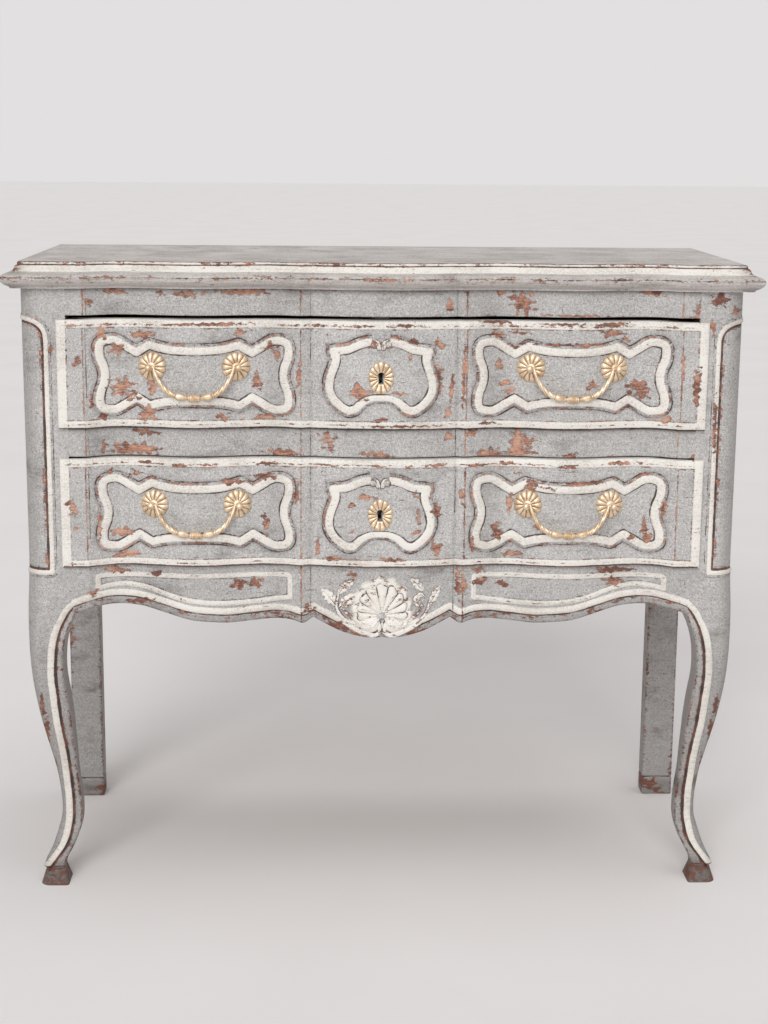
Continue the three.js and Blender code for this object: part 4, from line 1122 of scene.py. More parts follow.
@dataclass
class TopBoard:
    """The top board: a flat board with a two-step cream moulding over a rounded nose."""

    flat_half: float = 485.5
    side_points: int = 60
    profile: tuple = (
        (-1.4, 0.0, 1.2, -0.3, 0.36), (-0.4, 0.12, 0.3, -0.9, 0.46), (0.2, 0.6, -0.6, 0.0, 0.44),
        (0.6, 1.6, -1.6, 1.4, 0.34), (0.9, 3.4, -3, 0.4, 0.2), (1.0, 4.4, -4, -1.2, 0.4),
        (2.4, 4.9, -4, -0.1, 0.42), (3.3, 5.3, -4, 1.6, 0.26), (3.8, 6.2, -4, 3.0, SOUND),
        (4.6, 8.2, -4, 5.0, SOUND), (5.2, 9.8, -3.2, 9.0, SOUND), (6.4, 11.2, -2.0, FAR, SOUND),
        (8.0, 12.4, -0.9, FAR, SOUND), (9.9, 13.3, 0.5, FAR, 0.0), (13.4, 14.6, 3.5, FAR, 0.06),
        (16.6, 15.7, 7, 5.0, 0.08), (19.0, 16.9, 9, 2.6, 0.16), (20.7, 18.4, FAR, 0.9, 0.3),
        (21.7, 20.2, FAR, 0.0, 0.38), (22.0, 22.0, FAR, 0.8, 0.3), (21.7, 24.0, FAR, 2.8, 0.1),
        (20.5, 26.2, FAR, FAR, 0.08), (18.6, 28.3, FAR, FAR, SOUND), (16.2, 30.1, FAR, FAR, SOUND),
        (13.4, 31.6, FAR, FAR, SOUND), (11.2, 32.6, FAR, FAR, SOUND), (10.3, 33.6, FAR, FAR, SOUND),
        (10.1, 35.0, FAR, FAR, SOUND),
    )

    def edge(self) -> tuple[Array, Array]:
        """Follows the flat board's edge from the left rear corner round to the right rear one.

        Returns:
            Places on the edge, and the direction outwards at each.
        """
        xs = ruled(-self.flat_half, self.flat_half, 4.0)
        front = np.stack([xs, SIZE.face_y + WAVE.set_back(xs)], axis=1)[1:-1]
        ys = np.linspace(SIZE.back_y, SIZE.face_y, self.side_points)[:-1]
        turns = np.array([(-1, -0.55), (-1, -0.85), (-0.96, -0.96), (-0.85, -1), (-0.55, -1)])
        left = np.vstack([
            np.stack([np.full(len(ys), -self.flat_half), ys], axis=1),
            np.repeat([[-self.flat_half, SIZE.face_y]], len(turns), axis=0),
        ])
        left_outwards = np.vstack([np.repeat([[-1.0, 0]], len(ys), axis=0), turns])
        places = np.vstack([left, front, left[::-1] * [-1, 1]])
        ahead = np.repeat([[0, -1.0]], len(front), axis=0)
        return places, np.vstack([left_outwards, ahead, left_outwards[::-1] * [-1, 1]])

    def build(self) -> None:
        """Makes the board and dresses it."""
        bench = Bench("painted_top_board")
        places, outwards = self.edge()
        table = np.array(self.profile)
        rows = np.arange(len(table)).astype(float)

        def moulding(u: Array, v: Array) -> tuple[Array, Coat]:
            """Carries the edge down the moulding.

            Args:
                u: Numbers of places on the edge.
                v: Rows of the profile.

            Returns:
                Positions and paint marks.
            """
            i, j = u.astype(int), v.astype(int)
            spot = places[i] + outwards[i] * table[j, :1]
            coat = Coat(len(u))
            coat.cream, coat.dark, coat.worn = table[j, 2], table[j, 3], table[j, 4]
            corner = np.hypot(np.abs(spot[:, 0]) - self.flat_half - 5, spot[:, 1] - SIZE.face_y)
            coat.soil_and_shade(np.where(table[j, 1] < 12, 0.18, 0.1) + 0.7 * hump(corner, 0, 16))
            coat.rub(0.66 * hump(corner, 0, 13) - 0.1)
            return np.column_stack([spot, SIZE.height - table[j, 1]]), coat

        bench.gather(Sheet(np.arange(len(places))[::-1].astype(float), rows[::-1], moulding).bm)
        for row, flip in ((0, 1), (-1, -1)):
            self.cover(bench, places + outwards * table[row, 0], SIZE.height - table[row, 1], flip)

        def rear(u: Array, v: Array) -> tuple[Array, Coat]:
            """Closes the board's rear face.

            Args:
                u: Shares of the half width.
                v: Rows of the profile.

            Returns:
                Positions and paint marks.
            """
            j = v.astype(int)
            x = u * (self.flat_half + table[j, 0])
            return np.column_stack([x, np.full(len(u), SIZE.back_y), SIZE.height - table[j, 1]]), None

        bench.gather(Sheet(np.linspace(-1, 1, 12), rows, rear).bm)
        bench.finish("case", TOP, ["top_board"])

    def cover(self, bench: Bench, ring: Array, z: float, flip: int) -> None:
        """Closes the board above or below its moulding.

        Args:
            bench: The board in the making.
            ring: The moulding's upper or lower edge.
            z: Height of that edge.
            flip: 1 above, -1 below.
        """
        front = ring[self.side_points - 1 : 1 - self.side_points]

        def level(u: Array, v: Array) -> tuple[Array, Coat]:
            """Spreads from the front edge to the rear.

            Args:
                u: Numbers of places on the front edge.
                v: Shares of the way to the rear.

            Returns:
                Positions and paint marks.
            """
            i = u.astype(int)
            y = front[i, 1] + v * (SIZE.back_y - front[i, 1])
            coat = Coat(len(u), -0.06 if flip > 0 else SOUND)
            if flip > 0:
                coat.cream = np.where(v == 0, 1.5, 4.0 + v * 90)
                coat.rub(np.where(v == 0, 0.3, SOUND))
            return np.column_stack([front[i, 0], y, np.full(len(u), z)]), coat

        order = np.arange(len(front)).astype(float)
        shares = np.concatenate([[0], np.geomspace(0.01, 1, 26)])
        bench.gather(Sheet(order[::flip], shares, level).bm)


@dataclass
class FrontRails:
    """The frieze rail and the middle rail, which follow the serpentine front."""

    ease: float = 1.6
    frieze_worn: tuple[Place, ...] = (
        (-395, 826, 8.5, 4.5), (-363, 840, 16.5, 2.5), (-300, 838, 6, 3.5), (-266, 838, 13.5, 4.5),
        (-240, 839, 3.5, 1.5), (-186, 840, 40.5, 3), (88, 822, 3, 9), (156, 841, 5, 2.5),
        (188, 829, 15, 15), (251, 811, 41, 1), (366, 842, 14, 4), (423, 822, 5, 10.5),
    )
    middle_worn: tuple[Place, ...] = (
        (-380, 627, 1.5, 7), (-334, 626, 36, 7), (-322, 650, 20, 3.5), (-141, 622, 26, 3.5),
        (-74, 640, 11, 10), (-8, 622, 19, 3.5), (89, 645, 6.5, 4.5), (121, 650, 6.5, 4.5),
        (142, 622, 20, 5), (184, 635, 8, 17), (192, 637, 14, 9), (184, 623, 20, 4), (258, 620, 9, 3),
        (424, 620, 3.5, 4),
    )
    pocket_low: Pair = (-18.0, -150.5)
    pocket_high: Pair = (10.0, -137.5)
    pocket_depth: float = 10.0

    def build(self) -> None:
        """Makes both rails."""
        foot, head = SIZE.middle_rail
        self.rail("frieze_rail", SIZE.frieze_foot, SIZE.case_top, self.frieze_worn)
        self.rail("middle_rail", foot, head, self.middle_worn)

    def rail(self, node: str, foot: float, head: float, worn: Sequence[Place]) -> None:
        """Makes one rail.

        Args:
            node: The solid that it stands for.
            foot: Height of its lower edge.
            head: Height of its upper edge.
            worn: Places worn down to the wood.
        """

        def face(u: Array, v: Array) -> tuple[Array, Coat]:
            """Bends the face along the serpentine and rounds its long edges.

            Args:
                u: Places across.
                v: Heights.

            Returns:
                Positions and paint marks.
            """
            edge = np.minimum(v - foot, head - v)
            coat = Coat(len(u))
            wave_marks(coat, u)
            coat.rub(0.36 - edge * 0.2)
            # A little darker all over, with painted shadow along the top edge, under the part that overhangs
            # it.
            coat.soil_and_shade(0.1 + 0.45 * np.exp((v - head) / 3.0))
            coat.chip(u, v, worn)
            return np.column_stack([u, SIZE.face_y + WAVE.set_back(u) + rounded(edge, self.ease), v]), coat

        xs = drawn_to(ruled(-SIZE.rail_half, SIZE.rail_half, 1.5), WAVE_LINES)
        zs = ruled(foot, head, 2.0, (0, 0.3, 0.8, self.ease))
        sheet = Sheet(xs, zs, face)
        sheet.back(SIZE.rail_back_y)
        sheet.sink(self.pocket_low, self.pocket_high, foot + self.pocket_depth)
        bench = Bench(f"painted_{node}")
        bench.gather(sheet.bm)
        bench.finish("case", GREY, [node])


WAVE_LINES = (WAVE.margin, WAVE.margin - 3.9, WAVE.arris, WAVE.arris - 4.6, WAVE.notch - 1.2)


def wave_marks(coat: Coat, x: Array, outer: bool = True) -> None:
    """Marks the rubbed arrises of the serpentine, darkens its notch and inner troughs, and draws dark lines
    beside its steps, partly painted shade.

    Args:
        coat: The marks to add to.
        x: Place of each point across the chest.
        outer: Whether the lines at the flat margins show as well.
    """
    across = np.abs(x)
    margin, gutter, arris, hollow, notch = WAVE_LINES
    # Dark lines beside the serpentine's steps are partly painted shade in the creases; the gutter line is
    # wider on the left than on the right.
    rubbed, dark = ((arris, 1.2),), ((hollow, -0.5), (notch, 0.0))
    if outer:
        rubbed, dark = (*rubbed, (margin, 1.0)), (*dark, (gutter, np.where(x < 0, 0.1, -0.7)))
    for place, half in rubbed:
        coat.rub(0.86 - 0.5 * np.abs(across - place) / half)
    for place, half in dark:
        coat.dark = np.minimum(coat.dark, np.abs(across - place) - half)
    coat.soil_and_shade(0.3 * hump(across, notch, 3.5))
    coat.soil_and_shade(0.24 * hump(across, 146, 22))


class Chisel:
    """Carves small raised forms on a face that is bent along the serpentine."""

    def __init__(self, bench: Bench, face_y: float) -> None:
        """Takes up a piece.

        Args:
            bench: The carving in the making.
            face_y: Depth of the face at its flat margins.
        """
        self.bench = bench
        self.face_y = face_y

    def place(self, x: Array, z: Array, high: Array) -> Array:
        """Gives places at a height over the face."""
        return np.column_stack([x, self.face_y + WAVE.set_back(x) - high, z])

    def boss(
        self, middle: Pair, half: Pair, rise: float, cream: float, worn: float
    ) -> None:
        """Carves a round form with a faint swirl.

        Args:
            middle: Its place.
            half: Its half width and half height.
            rise: Its height.
            cream: Below zero where it is cream all over.
            worn: Share of wear.
        """
        sign = -1 if middle[0] < 0 else 1

        def dome(u: Array, v: Array) -> tuple[Array, Coat]:
            """Rounds the form.

            Args:
                u: Directions from its middle.
                v: Shares of its reach.

            Returns:
                Positions and paint marks.
            """
            x, z = middle[0] + half[0] * v * np.sin(u), middle[1] + half[1] * v * np.cos(u)
            swirl = np.sin(2 * u * sign + 6.5 * v)
            coat = Coat(len(u))
            coat.cream = np.full(len(u), cream)
            coat.dark = np.where(v > 0.7, (1 - v) * half[0] - 0.9, FAR)
            coat.rub(worn + 0.1 * swirl)
            high = rise * (np.sqrt(np.clip(1 - v**2, 0, 1)) + 0.12 * swirl * v) - 0.6 * v
            return self.place(x, z, high), coat

        self.bench.gather(Sheet(np.linspace(-np.pi, np.pi, 41), np.linspace(0, 1, 13), dome).bm)

    def ribbon(
        self, path: Sequence[Pair], width: Sequence[float], rise: float, vein: float,
        worn: float, lobes: float = 0.0,
    ) -> None:
        """Carves a leaf or a stem along a line.

        Args:
            path: Points of its middle line.
            width: Half widths from its root to its tip.
            rise: Height over the face.
            vein: Depth of the groove along its middle.
            worn: Share of wear.
            lobes: Depth of the lobes along its edges.
        """
        line = flowing(path, step=1.0)
        along = np.linspace(0, 1, len(line))
        half = 1.35 * np.interp(along, np.linspace(0, 1, len(width)), width)
        ahead = np.gradient(line, axis=0)
        ahead /= np.linalg.norm(ahead, axis=1)[:, None]
        normal = np.stack([ahead[:, 1], -ahead[:, 0]], axis=1)

        def blade(u: Array, v: Array) -> tuple[Array, Coat]:
            """Lays the sheet across the line as a pillow with a vein and lobes.

            Args:
                u: Numbers of points of the line.
                v: Shares of the half width.

            Returns:
                Positions and paint marks.
            """
            i = u.astype(int)
            scallop = np.abs(np.sin(i * 0.42))
            spot = line[i] + normal[i] * (v * half[i] * (1 - lobes + 2 * lobes * scallop))[:, None]
            bulge = np.clip(1 - v**2, 0, 1) ** 0.4 - vein * hump(v, 0, 0.2)
            side_vein = 0.8 * lobes * np.cos(i * 0.84 - 3 * np.abs(v)) * np.abs(v)
            ends = np.clip(np.minimum(along[i], 1 - along[i]) * 9, 0.12, 1)
            coat = Coat(len(u))
            coat.cream = np.full(len(u), -1.0)
            coat.dark = np.where(vein > 0.1, np.abs(v) * half[i] - 0.1, FAR)
            coat.dark = np.minimum(coat.dark, (1 - np.abs(v)) * half[i] - 0.3)
            coat.rub(worn + 0.12 * (1 - scallop))
            high = rise * (bulge + side_vein) * ends - 0.7 * np.abs(v) ** 6
            return self.place(spot[:, 0], spot[:, 1], high), coat

        self.bench.gather(Sheet(np.arange(len(line)).astype(float), np.linspace(-1, 1, 17), blade).bm)


@dataclass
class Apron:
    """The carved apron with its bead, the outlines on its halves, and the shell between two sprays."""

    drop: float = 101.0
    bead_lift: float = 17.0
    outline: tuple = (
        (0, 0.985), (0.03, 1), (0.081, 0.973), (0.135, 0.91), (0.19, 0.803), (0.223, 0.731),
        (0.248, 0.803), (0.262, 0.81), (0.301, 0.771), (0.355, 0.766), (0.4, 0.784), (0.489, 0.811),
        (0.541, 0.798), (0.623, 0.76), (0.703, 0.669), (0.785, 0.58), (0.865, 0.553), (0.913, 0.566),
        (0.964, 0.612), (1, 0.671),
    )
    panel: tuple = (
        (0.919, 0.307), (0.87, 0.275), (0.82, 0.267), (0.754, 0.319), (0.672, 0.433), (0.591, 0.499),
        (0.4935, 0.525), (0.397, 0.505), (0.3, 0.4475),
    )
    panel_top: float = 0.134
    panel_corner: Pair = (3.4, 1.0)
    worn: tuple[Place, ...] = (
        (-396, 427, 7, 5), (-365, 458, 16, 4.5), (-336, 413, 16.5, 3), (-311, 453, 6.5, 3),
        (-199, 439, 8, 6.5), (-176, 439, 9, 7), (-101, 402, 8.5, 6), (-58, 379, 18, 7), (-30, 372, 14, 4),
        (-40, 454, 7.5, 3.5), (37, 371, 24, 4), (105, 437, 2.5, 24), (113, 439, 2.5, 19), (132, 457, 9, 3.5),
        (137, 442, 9, 4), (169, 437, 9, 4), (318, 458, 28, 3), (322, 442, 15, 5),
    )

    def lower(self) -> Array:
        """Lower edge on the right half, from the middle outwards."""
        points = [(a * SIZE.rail_half, SIZE.apron_top - d * self.drop) for a, d in self.outline]
        return flowing(points, (5,), step=1.0)

    def panel_line(self) -> Line:
        """Lays out the outline on the right half, above the bead.

        Returns:
            The outline.
        """
        lower = [(a * SIZE.opening_half, SIZE.apron_top - d * self.drop) for a, d in self.panel]
        top = SIZE.apron_top - self.panel_top * self.drop
        cut, ease = self.panel_corner
        inner, outer = lower[-1][0], lower[0][0]
        upper = [
            (inner, top - cut), (inner + ease, top - ease), (inner + cut, top),
            (outer - cut, top), (outer - ease, top - ease), (outer, top - cut),
        ]
        first = len(lower)
        corners = (0, *range(first - 1, first + len(upper)))
        return Line(flowing([*lower, *upper], corners, closed=True, step=3.0))

    def bead_line(self) -> Line:
        """Lays out the bead's middle line.

        Returns:
            The line, with all that lies above it as its inside.
        """
        right = self.lower() + [0, self.bead_lift]
        whole = np.vstack([right[:0:-1] * [-1, 1], right])[::2]
        low, high = whole[0, 1] - 6, SIZE.height + 20
        path = np.vstack([[-440, low], whole, [440, whole[-1, 1] - 6]])
        return Line(path, np.vstack([path, [[600, path[-1, 1]], [600, high], [-600, high], [-600, low]]]))

    def build(self) -> None:
        """Makes the apron and its carving."""
        edge = self.lower()
        bead, panel = self.bead_line(), self.panel_line()

        def face(u: Array, v: Array) -> tuple[Array, Coat]:
            """Fills the outline, bends it along the serpentine and raises its mouldings.

            Args:
                u: Places across.
                v: Shares of the way up.

            Returns:
                Positions and paint marks.
            """
            foot = np.interp(np.abs(u), edge[:, 0], edge[:, 1])
            z = foot + v * (SIZE.apron_top - foot)
            over = z - foot
            off = -bead.offset(u, z)
            ring = panel.offset(np.abs(u), z)
            fall = rounded(over, 4) - (APRON_BEAD.height(off) + PANEL_BEAD.height(ring))
            coat = Coat(len(u))
            wave_marks(coat, u, outer=False)
            coat.soil_and_shade(np.interp(over, [0, 9, 14], [0.4, 0.3, 0.16]))
            coat.bead(APRON_BEAD, off)
            coat.bead(PANEL_BEAD, ring)
            coat.rub(0.4 - over * 0.04)
            coat.chip(u, z, self.worn)
            return np.column_stack([u, SIZE.face_y + WAVE.set_back(u) + fall, z]), coat

        xs = drawn_to(ruled(-SIZE.rail_half, SIZE.rail_half, 1.35), (*WAVE_LINES, 0.0))
        vs = np.concatenate([[0, 0.004, 0.012, 0.025], np.linspace(0.045, 1, 62)])
        sheet = Sheet(xs, vs, face)
        sheet.back(SIZE.rail_back_y)
        bench = Bench("painted_apron")
        bench.gather(sheet.bm)
        bench.finish("case", GREY, ["apron"])


@dataclass
class Carving:
    """The shell over the middle of the apron and the leafy sprays beside it."""

    hub: Pair = (0.0, 397.0)
    reach: float = 56.0
    rise: float = 8.0
    rays: int = 13
    rim: tuple = (
        (90, 1.0), (72, 0.98), (52, 0.91), (32, 0.84), (12, 0.79), (-8, 0.76), (-28, 0.67), (-46, 0.53),
        (-62, 0.4), (-78, 0.28), (-90, 0.2),
    )
    left: tuple = (
        (((-62, 409), (-69, 416), (-76, 424), (-84, 432)), (1.4, 5.4, 5.8, 0.8), 4.2, 0.35, 0.22),
        (((-61, 426), (-54, 434), (-46, 441), (-36, 447)), (1.6, 4.6, 4.4, 0.8), 3.8, 0.3, 0.3),
        (((-60, 405), (-53, 412), (-45, 419), (-34, 427)), (1.6, 5.4, 5.6, 1.0), 4.2, 0.4, 0.4),
        (
            ((-36, 380), (-48, 387), (-57, 395), (-63, 408), (-60, 428)), (2.2, 2.6, 2.2, 1.8, 1.2),
            3.2, 0.0, 0.25,
        ),
        (((-30, 385), (-41, 392), (-50, 400), (-56, 409)), (1.2, 2.0, 1.8, 0.8), 2.4, 0.0, 0.45),
    )
    right: tuple = (
        (((64, 410), (70, 418), (75, 427), (81, 437)), (1.4, 4.0, 4.2, 0.8), 3.8, 0.3, 0.3),
        (((58, 430), (52, 436), (46, 443), (38, 449)), (1.6, 4.2, 4.0, 0.8), 3.6, 0.3, 0.3),
        (((58, 407), (50, 412), (48, 420), (54, 425), (60, 420)), (1.2, 3.4, 3.6, 2.8, 1.0), 3.6, 0.2, 0.36),
        (((36, 377), (48, 384), (57, 393), (63, 404), (65, 414)), (2.2, 2.6, 2.2, 1.8, 1.0), 3.2, 0.0, 0.25),
        (((30, 384), (41, 391), (51, 400), (56, 408)), (1.0, 1.8, 1.6, 0.8), 2.4, 0.0, 0.4),
    )

    bosses: tuple = (
        ((-17.5, 385.0), (16.0, 14.0), 7.4, -2.0), ((17.5, 384.5), (15.5, 13.5), 7.4, -2.0),
        ((-1.0, 396.0), (9.0, 5.0), 7.0, 1.5), ((-3.8, 380.0), (3.8, 9.0), 5.0, -1.0),
        ((4.0, 379.5), (3.8, 9.0), 5.0, -1.0),
    )
    stem: tuple = ((58, 387), (40, 378), (24, 371), (11, 368), (2, 373))

    def build(self) -> None:
        """Makes the shell, its hub and the sprays as one carved piece."""
        chisel = Chisel(Bench("carved_shell"), SIZE.face_y)
        self.shell(chisel)
        for middle, half, rise, cream in self.bosses:
            chisel.boss(middle, half, rise, cream, 0.02)
        for path, width, rise, vein, worn in (*self.left, *self.right):
            chisel.ribbon(path, width, rise, vein, worn, 0.16 if vein else 0.0)
        for sign in (-1, 1):
            path = [(sign * x, z) for x, z in self.stem]
            chisel.ribbon(path, (1.2, 2.6, 3.2, 3.4, 2.0), 3.4, 0.0, 0.2)
        chisel.bench.finish("case", GREY, angle=60)

    def shell(self, chisel: Chisel) -> None:
        """Carves the fan of petals with the frill behind it.

        Args:
            chisel: The chisel that works on the carving.
        """
        angles, reaches = np.array(self.rim).T
        span = 0.5 * math.pi + math.radians(60)

        def fan(u: Array, v: Array) -> tuple[Array, Coat]:
            """Bends the sheet round the hub and cuts a groove between each two petals.

            Args:
                u: Directions from the upright.
                v: Shares of the reach.

            Returns:
                Positions and paint marks.
            """
            turn = np.degrees(np.pi / 2 - np.abs(u))
            across, crown = petals(u, 2 * span, self.rays)
            frill = 1 - np.abs(np.sin(u * 7.5 + 0.8)) ** 3
            outline = self.reach * np.interp(turn, angles[::-1], reaches[::-1])
            radius = outline * (0.94 + 0.06 * frill)
            step = 0.74 + 0.08 * crown
            r = radius * v
            x, z = self.hub[0] + r * np.sin(u), self.hub[1] + r * np.cos(u)
            petal = np.interp(v / step, [0, 0.12, 0.3, 0.7, 0.93, 1], [0.45, 0.5, 0.62, 0.95, 1, 0.62])
            petal = petal - (1 - crown) * np.interp(v / step, [0, 0.2, 0.6, 1], [0.05, 0.25, 0.6, 0.55])
            outer = np.clip((v - step) / (1 - step), 0, 1)
            roll = np.sin(np.pi * np.clip(outer * 1.1, 0, 1))
            edge = 0.36 + 0.16 * frill + 0.22 * roll - 0.5 * outer**6
            high = self.rise * np.where(v < step, petal, edge)
            coat = Coat(len(u))
            coat.cream = np.where(r < 4.5, 1.2, -2.0)
            gap = (1 - np.abs(across)) * np.pi * r / self.rays
            deep = np.interp(v / step, [0.4, 0.55, 0.9, 1], [-0.8, 0.1, 0.5, 0.3])
            coat.dark = np.where((v / step > 0.4) & (v < step), gap - deep, FAR)
            coat.dark = np.minimum(coat.dark, np.abs(v - step) * outline - 0.25)
            coat.rub(np.where((v > step) & (turn > 5), 0.46 - 0.34 * frill, 0.14))
            return chisel.place(x, z, high), coat

        chisel.bench.gather(Sheet(np.linspace(-span, span, 330), np.linspace(0.02, 1, 54), fan).bm)


@dataclass
class FrontLeg:
    """A cabriole leg, one piece of wood with the stile above it, ending in a hoof."""

    side: Side
    radius: float = 30.0
    small: float = 4.0
    toe: float = 9.0
    hoof: float = 24.0
    panel_width: float = 35.5
    arch_rise: float = 27.0
    arch: tuple = ((0, 0), (0.04, 0.34), (0.13, 0.6), (0.28, 0.8), (0.48, 0.92), (0.74, 0.98), (1, 1))
    turns: tuple = (0, 0.1, 0.34, 0.62, 0.72, 0.76, 0.84, 0.88, 1)
    turn_points: tuple = (4, 17, 29, 7, 4, 6, 4, 9)
    worn: tuple[Place, ...] = ((470, 218, 3.5, 27), (473, 258, 3, 18), (462, 152, 3, 22))
    stile_worn: tuple[Place, ...] = (
        (443, 797, 2.5, 9), (449, 834, 11, 9.5), (451, 653, 2, 37), (476, 818, 5.5, 6.5),
        (-445, 761, 2, 6.5),
    )
    sections: tuple = (
        (2.2, 0, 0, 1), (1.175, 0.002, 0, 1), (1.0875, 0.022, 0, 0.95), (1.025, 0.04, 0, 0.9),
        (0.985, 0.046, 0.005, 0.88), (0.965, 0.047, 0.048, 0.86), (0.935, 0.046, 0.13, 0.82),
        (0.895, 0.04, 0.202, 0.76), (0.855, 0.033, 0.242, 0.7), (0.8, 0.012, 0.258, 0.64),
        (0.75, -0.018, 0.242, 0.58), (0.68, -0.08, 0.185, 0.5), (0.6, -0.168, 0.137, 0.44),
        (0.5375, -0.256, 0.113, 0.38), (0.475, -0.347, 0.089, 0.34), (0.4, -0.447, 0.065, 0.32),
        (0.325, -0.508, 0.018, 0.31), (0.275, -0.529, -0.004, 0.31), (0.225, -0.518, -0.003, 0.32),
        (0.1875, -0.457, 0.034, 0.33), (0.15, -0.383, 0.111, 0.34), (0.12, -0.316, 0.2, 0.34),
        (0.095, -0.242, 0.292, 0.34), (0.075, -0.172, 0.351, 0.34), (0.06, -0.136, 0.373, 0.34),
        (0.05, -0.185, 0.367, 0.4), (0.0, -0.088, 0.27, 0.46),
    )
    bead: tuple = (
        (1.047, -0.05), (1.034, -0.002), (1.024, 0.068), (1.0085, 0.158), (0.988, 0.238), (0.963, 0.27),
        (0.93, 0.276), (0.89, 0.272), (0.81, 0.278), (0.735, 0.3), (0.66, 0.327), (0.58, 0.33),
        (0.5, 0.293), (0.42, 0.273), (0.345, 0.28), (0.275, 0.297), (0.225, 0.302), (0.1875, 0.296),
        (0.15, 0.282), (0.12, 0.287), (0.095, 0.32), (0.075, 0.368), (0.062, 0.43),
    )

    def __post_init__(self) -> None:
        """Smooths the listed sections once."""
        table = np.array(self.sections)
        scaled = table * [SIZE.leg_height, SIZE.stile_width, SIZE.stile_width, self.radius]
        scaled[0, 0] = SIZE.height
        count = len(scaled)
        smooth = flowing(scaled[1:], (count - 4, count - 3), step=2.0)
        smooth = np.vstack([[SIZE.height, 0, 0, self.radius], [470, 0.5, 0, self.radius], smooth])
        self.table = smooth[np.argsort(smooth[:, 0], kind="stable")]

    def at(self, z: Array | float) -> tuple:
        """Gives the shifts of the outer and inner faces and the corner's radius at a height."""
        return tuple(np.interp(z, self.table[:, 0], self.table[:, i]) for i in (1, 2, 3))

    def unroll(self, x: float, z: float) -> float:
        """Measures how far round the leg a place lies.

        Args:
            x: The place across the front.
            z: Its height.

        Returns:
            The distance from the leg's inner face, along the front and round its corner.
        """
        outer, inner, radius = self.at(z)
        start = SIZE.outer_half + outer - radius
        past = min(max(x - start, 0), radius)
        return min(x, start) - SIZE.opening_half - inner + radius * math.asin(past / radius)

    def lines(self) -> tuple[Line, Line]:
        """Lays out the leg's bead and the outline of the stile's panel, both unrolled.

        Returns:
            The bead down the leg, and the panel's outline.
        """
        down = []
        for up, out in self.bead:
            z = up * SIZE.leg_height
            x = SIZE.opening_half + self.at(z)[1] + out * SIZE.stile_width
            down.append((self.unroll(x, z), z))
        leg = flowing(down, step=3.0)
        past, below, above, stile_z = 400, -50, 900, 700
        fence = np.vstack([leg, [leg[-1, 0], below], [past, below], [past, above], [leg[0, 0], above]])
        near, wrap = (self.unroll(SIZE.outer_half - inwards, stile_z) for inwards in (self.panel_width, 1))
        foot, arch = SIZE.apron_top - 7, SIZE.frieze_foot - 31
        curve = [(near + (wrap - near) * across, arch + self.arch_rise * up) for across, up in self.arch]
        panel = flowing([(wrap, foot), (near, foot), *curve], (1, 2), step=3.0)
        area = np.vstack([panel, [past, arch + self.arch_rise], [past, foot]])
        return Line(leg, fence), Line(panel, area)

    def build(self) -> None:
        """Makes the leg and dresses it."""
        leg_line, panel_line = self.lines()
        unseen = -9.0

        def ring(u: Array, v: Array) -> tuple[Array, Coat]:
            """Wraps the sheet round the leg's section at each height.

            Args:
                u: Shares of the way round.
                v: Heights.

            Returns:
                Positions and paint marks.
            """
            outer, inner, radius = self.at(v)
            flush = np.clip((v / SIZE.leg_height - 0.855) / 0.11, 0, 1)
            forward = self.toe * np.clip(1 - v / self.hoof, 0, 1)
            x0, x1 = SIZE.opening_half + inner, SIZE.outer_half + outer
            y0 = SIZE.face_y - outer
            y1 = SIZE.face_y + SIZE.stile_depth - inner
            y_in, x_rear = y0 + flush * outer - forward, x1 - flush * outer
            y0 = y0 - forward
            small = np.full(len(u), self.small)
            sharp = np.interp(v, [384, 402], [self.small, 0.3])
            corners = [
                (x0 + sharp, y_in + sharp, sharp), (x1 - radius, y0 + radius, radius),
                (x_rear - small, y1 - small, small), (x0 + small, y1 - small, small),
            ]
            place, normal = np.zeros((2, len(u), 2))
            around = np.full(len(u), unseen)
            for i, (cx, cy, r) in enumerate(corners):
                low, high, past = self.turns[2 * i : 2 * i + 3]
                pick = (u >= low) & (u <= high)
                turned = (u[pick] - low) / (high - low) * np.pi / 2
                angle = np.pi + i * np.pi / 2 + turned
                normal[pick] = np.column_stack([np.cos(angle), np.sin(angle)])
                place[pick] = np.column_stack([cx, cy])[pick] + r[pick, None] * normal[pick]
                if i == 1:
                    around[pick] = cx[pick] - x0[pick] + r[pick] * turned
                pick = (u > high) & (u <= past)
                share = ((u[pick] - high) / (past - high))[:, None]
                out = np.rint([np.sin(i * np.pi / 2), -np.cos(i * np.pi / 2)])
                begin, end = (
                    np.column_stack([x, y])[pick] + reach[pick, None] * out
                    for x, y, reach in ((cx, cy, r), corners[(i + 1) % 4])
                )
                place[pick] = begin + share * (end - begin)
                normal[pick] = out
                if i == 0:
                    around[pick] = place[pick, 0] - x0[pick]
            first = self.turns[1]
            around = np.where(u <= first, (u / first) * sharp, around)
            front = around > unseen
            off = -leg_line.offset(around, v) / np.interp(v, [372, 412], [1, 0.76])
            off = np.where(front, off, FAR)
            ring_off = np.where(front, -panel_line.offset(around, v), FAR)
            lift = LEG_BEAD.height(off) + STILE_BEAD.height(-ring_off)
            place += normal * lift[:, None]
            coat = Coat(len(u))
            coat.bead(LEG_BEAD, off)
            coat.bead(STILE_BEAD, -ring_off)
            coat.rub(np.where(v < 396, 0.64 - 0.5 * np.abs(u - 0.05) / 0.05, SOUND))
            coat.rub(0.3 - 0.5 * np.abs(u - 0.74) / 0.03)
            coat.rub(np.where(v < 22, 0.47, SOUND))
            # Dirt on the hoof, and painted shade that darkens the leg towards the floor.
            coat.soil_and_shade(np.interp(v, [18, self.hoof, 40, 330, 430, 520], [1.0, 0.6, 0.3, 0.26, 0.16, 0.1]))
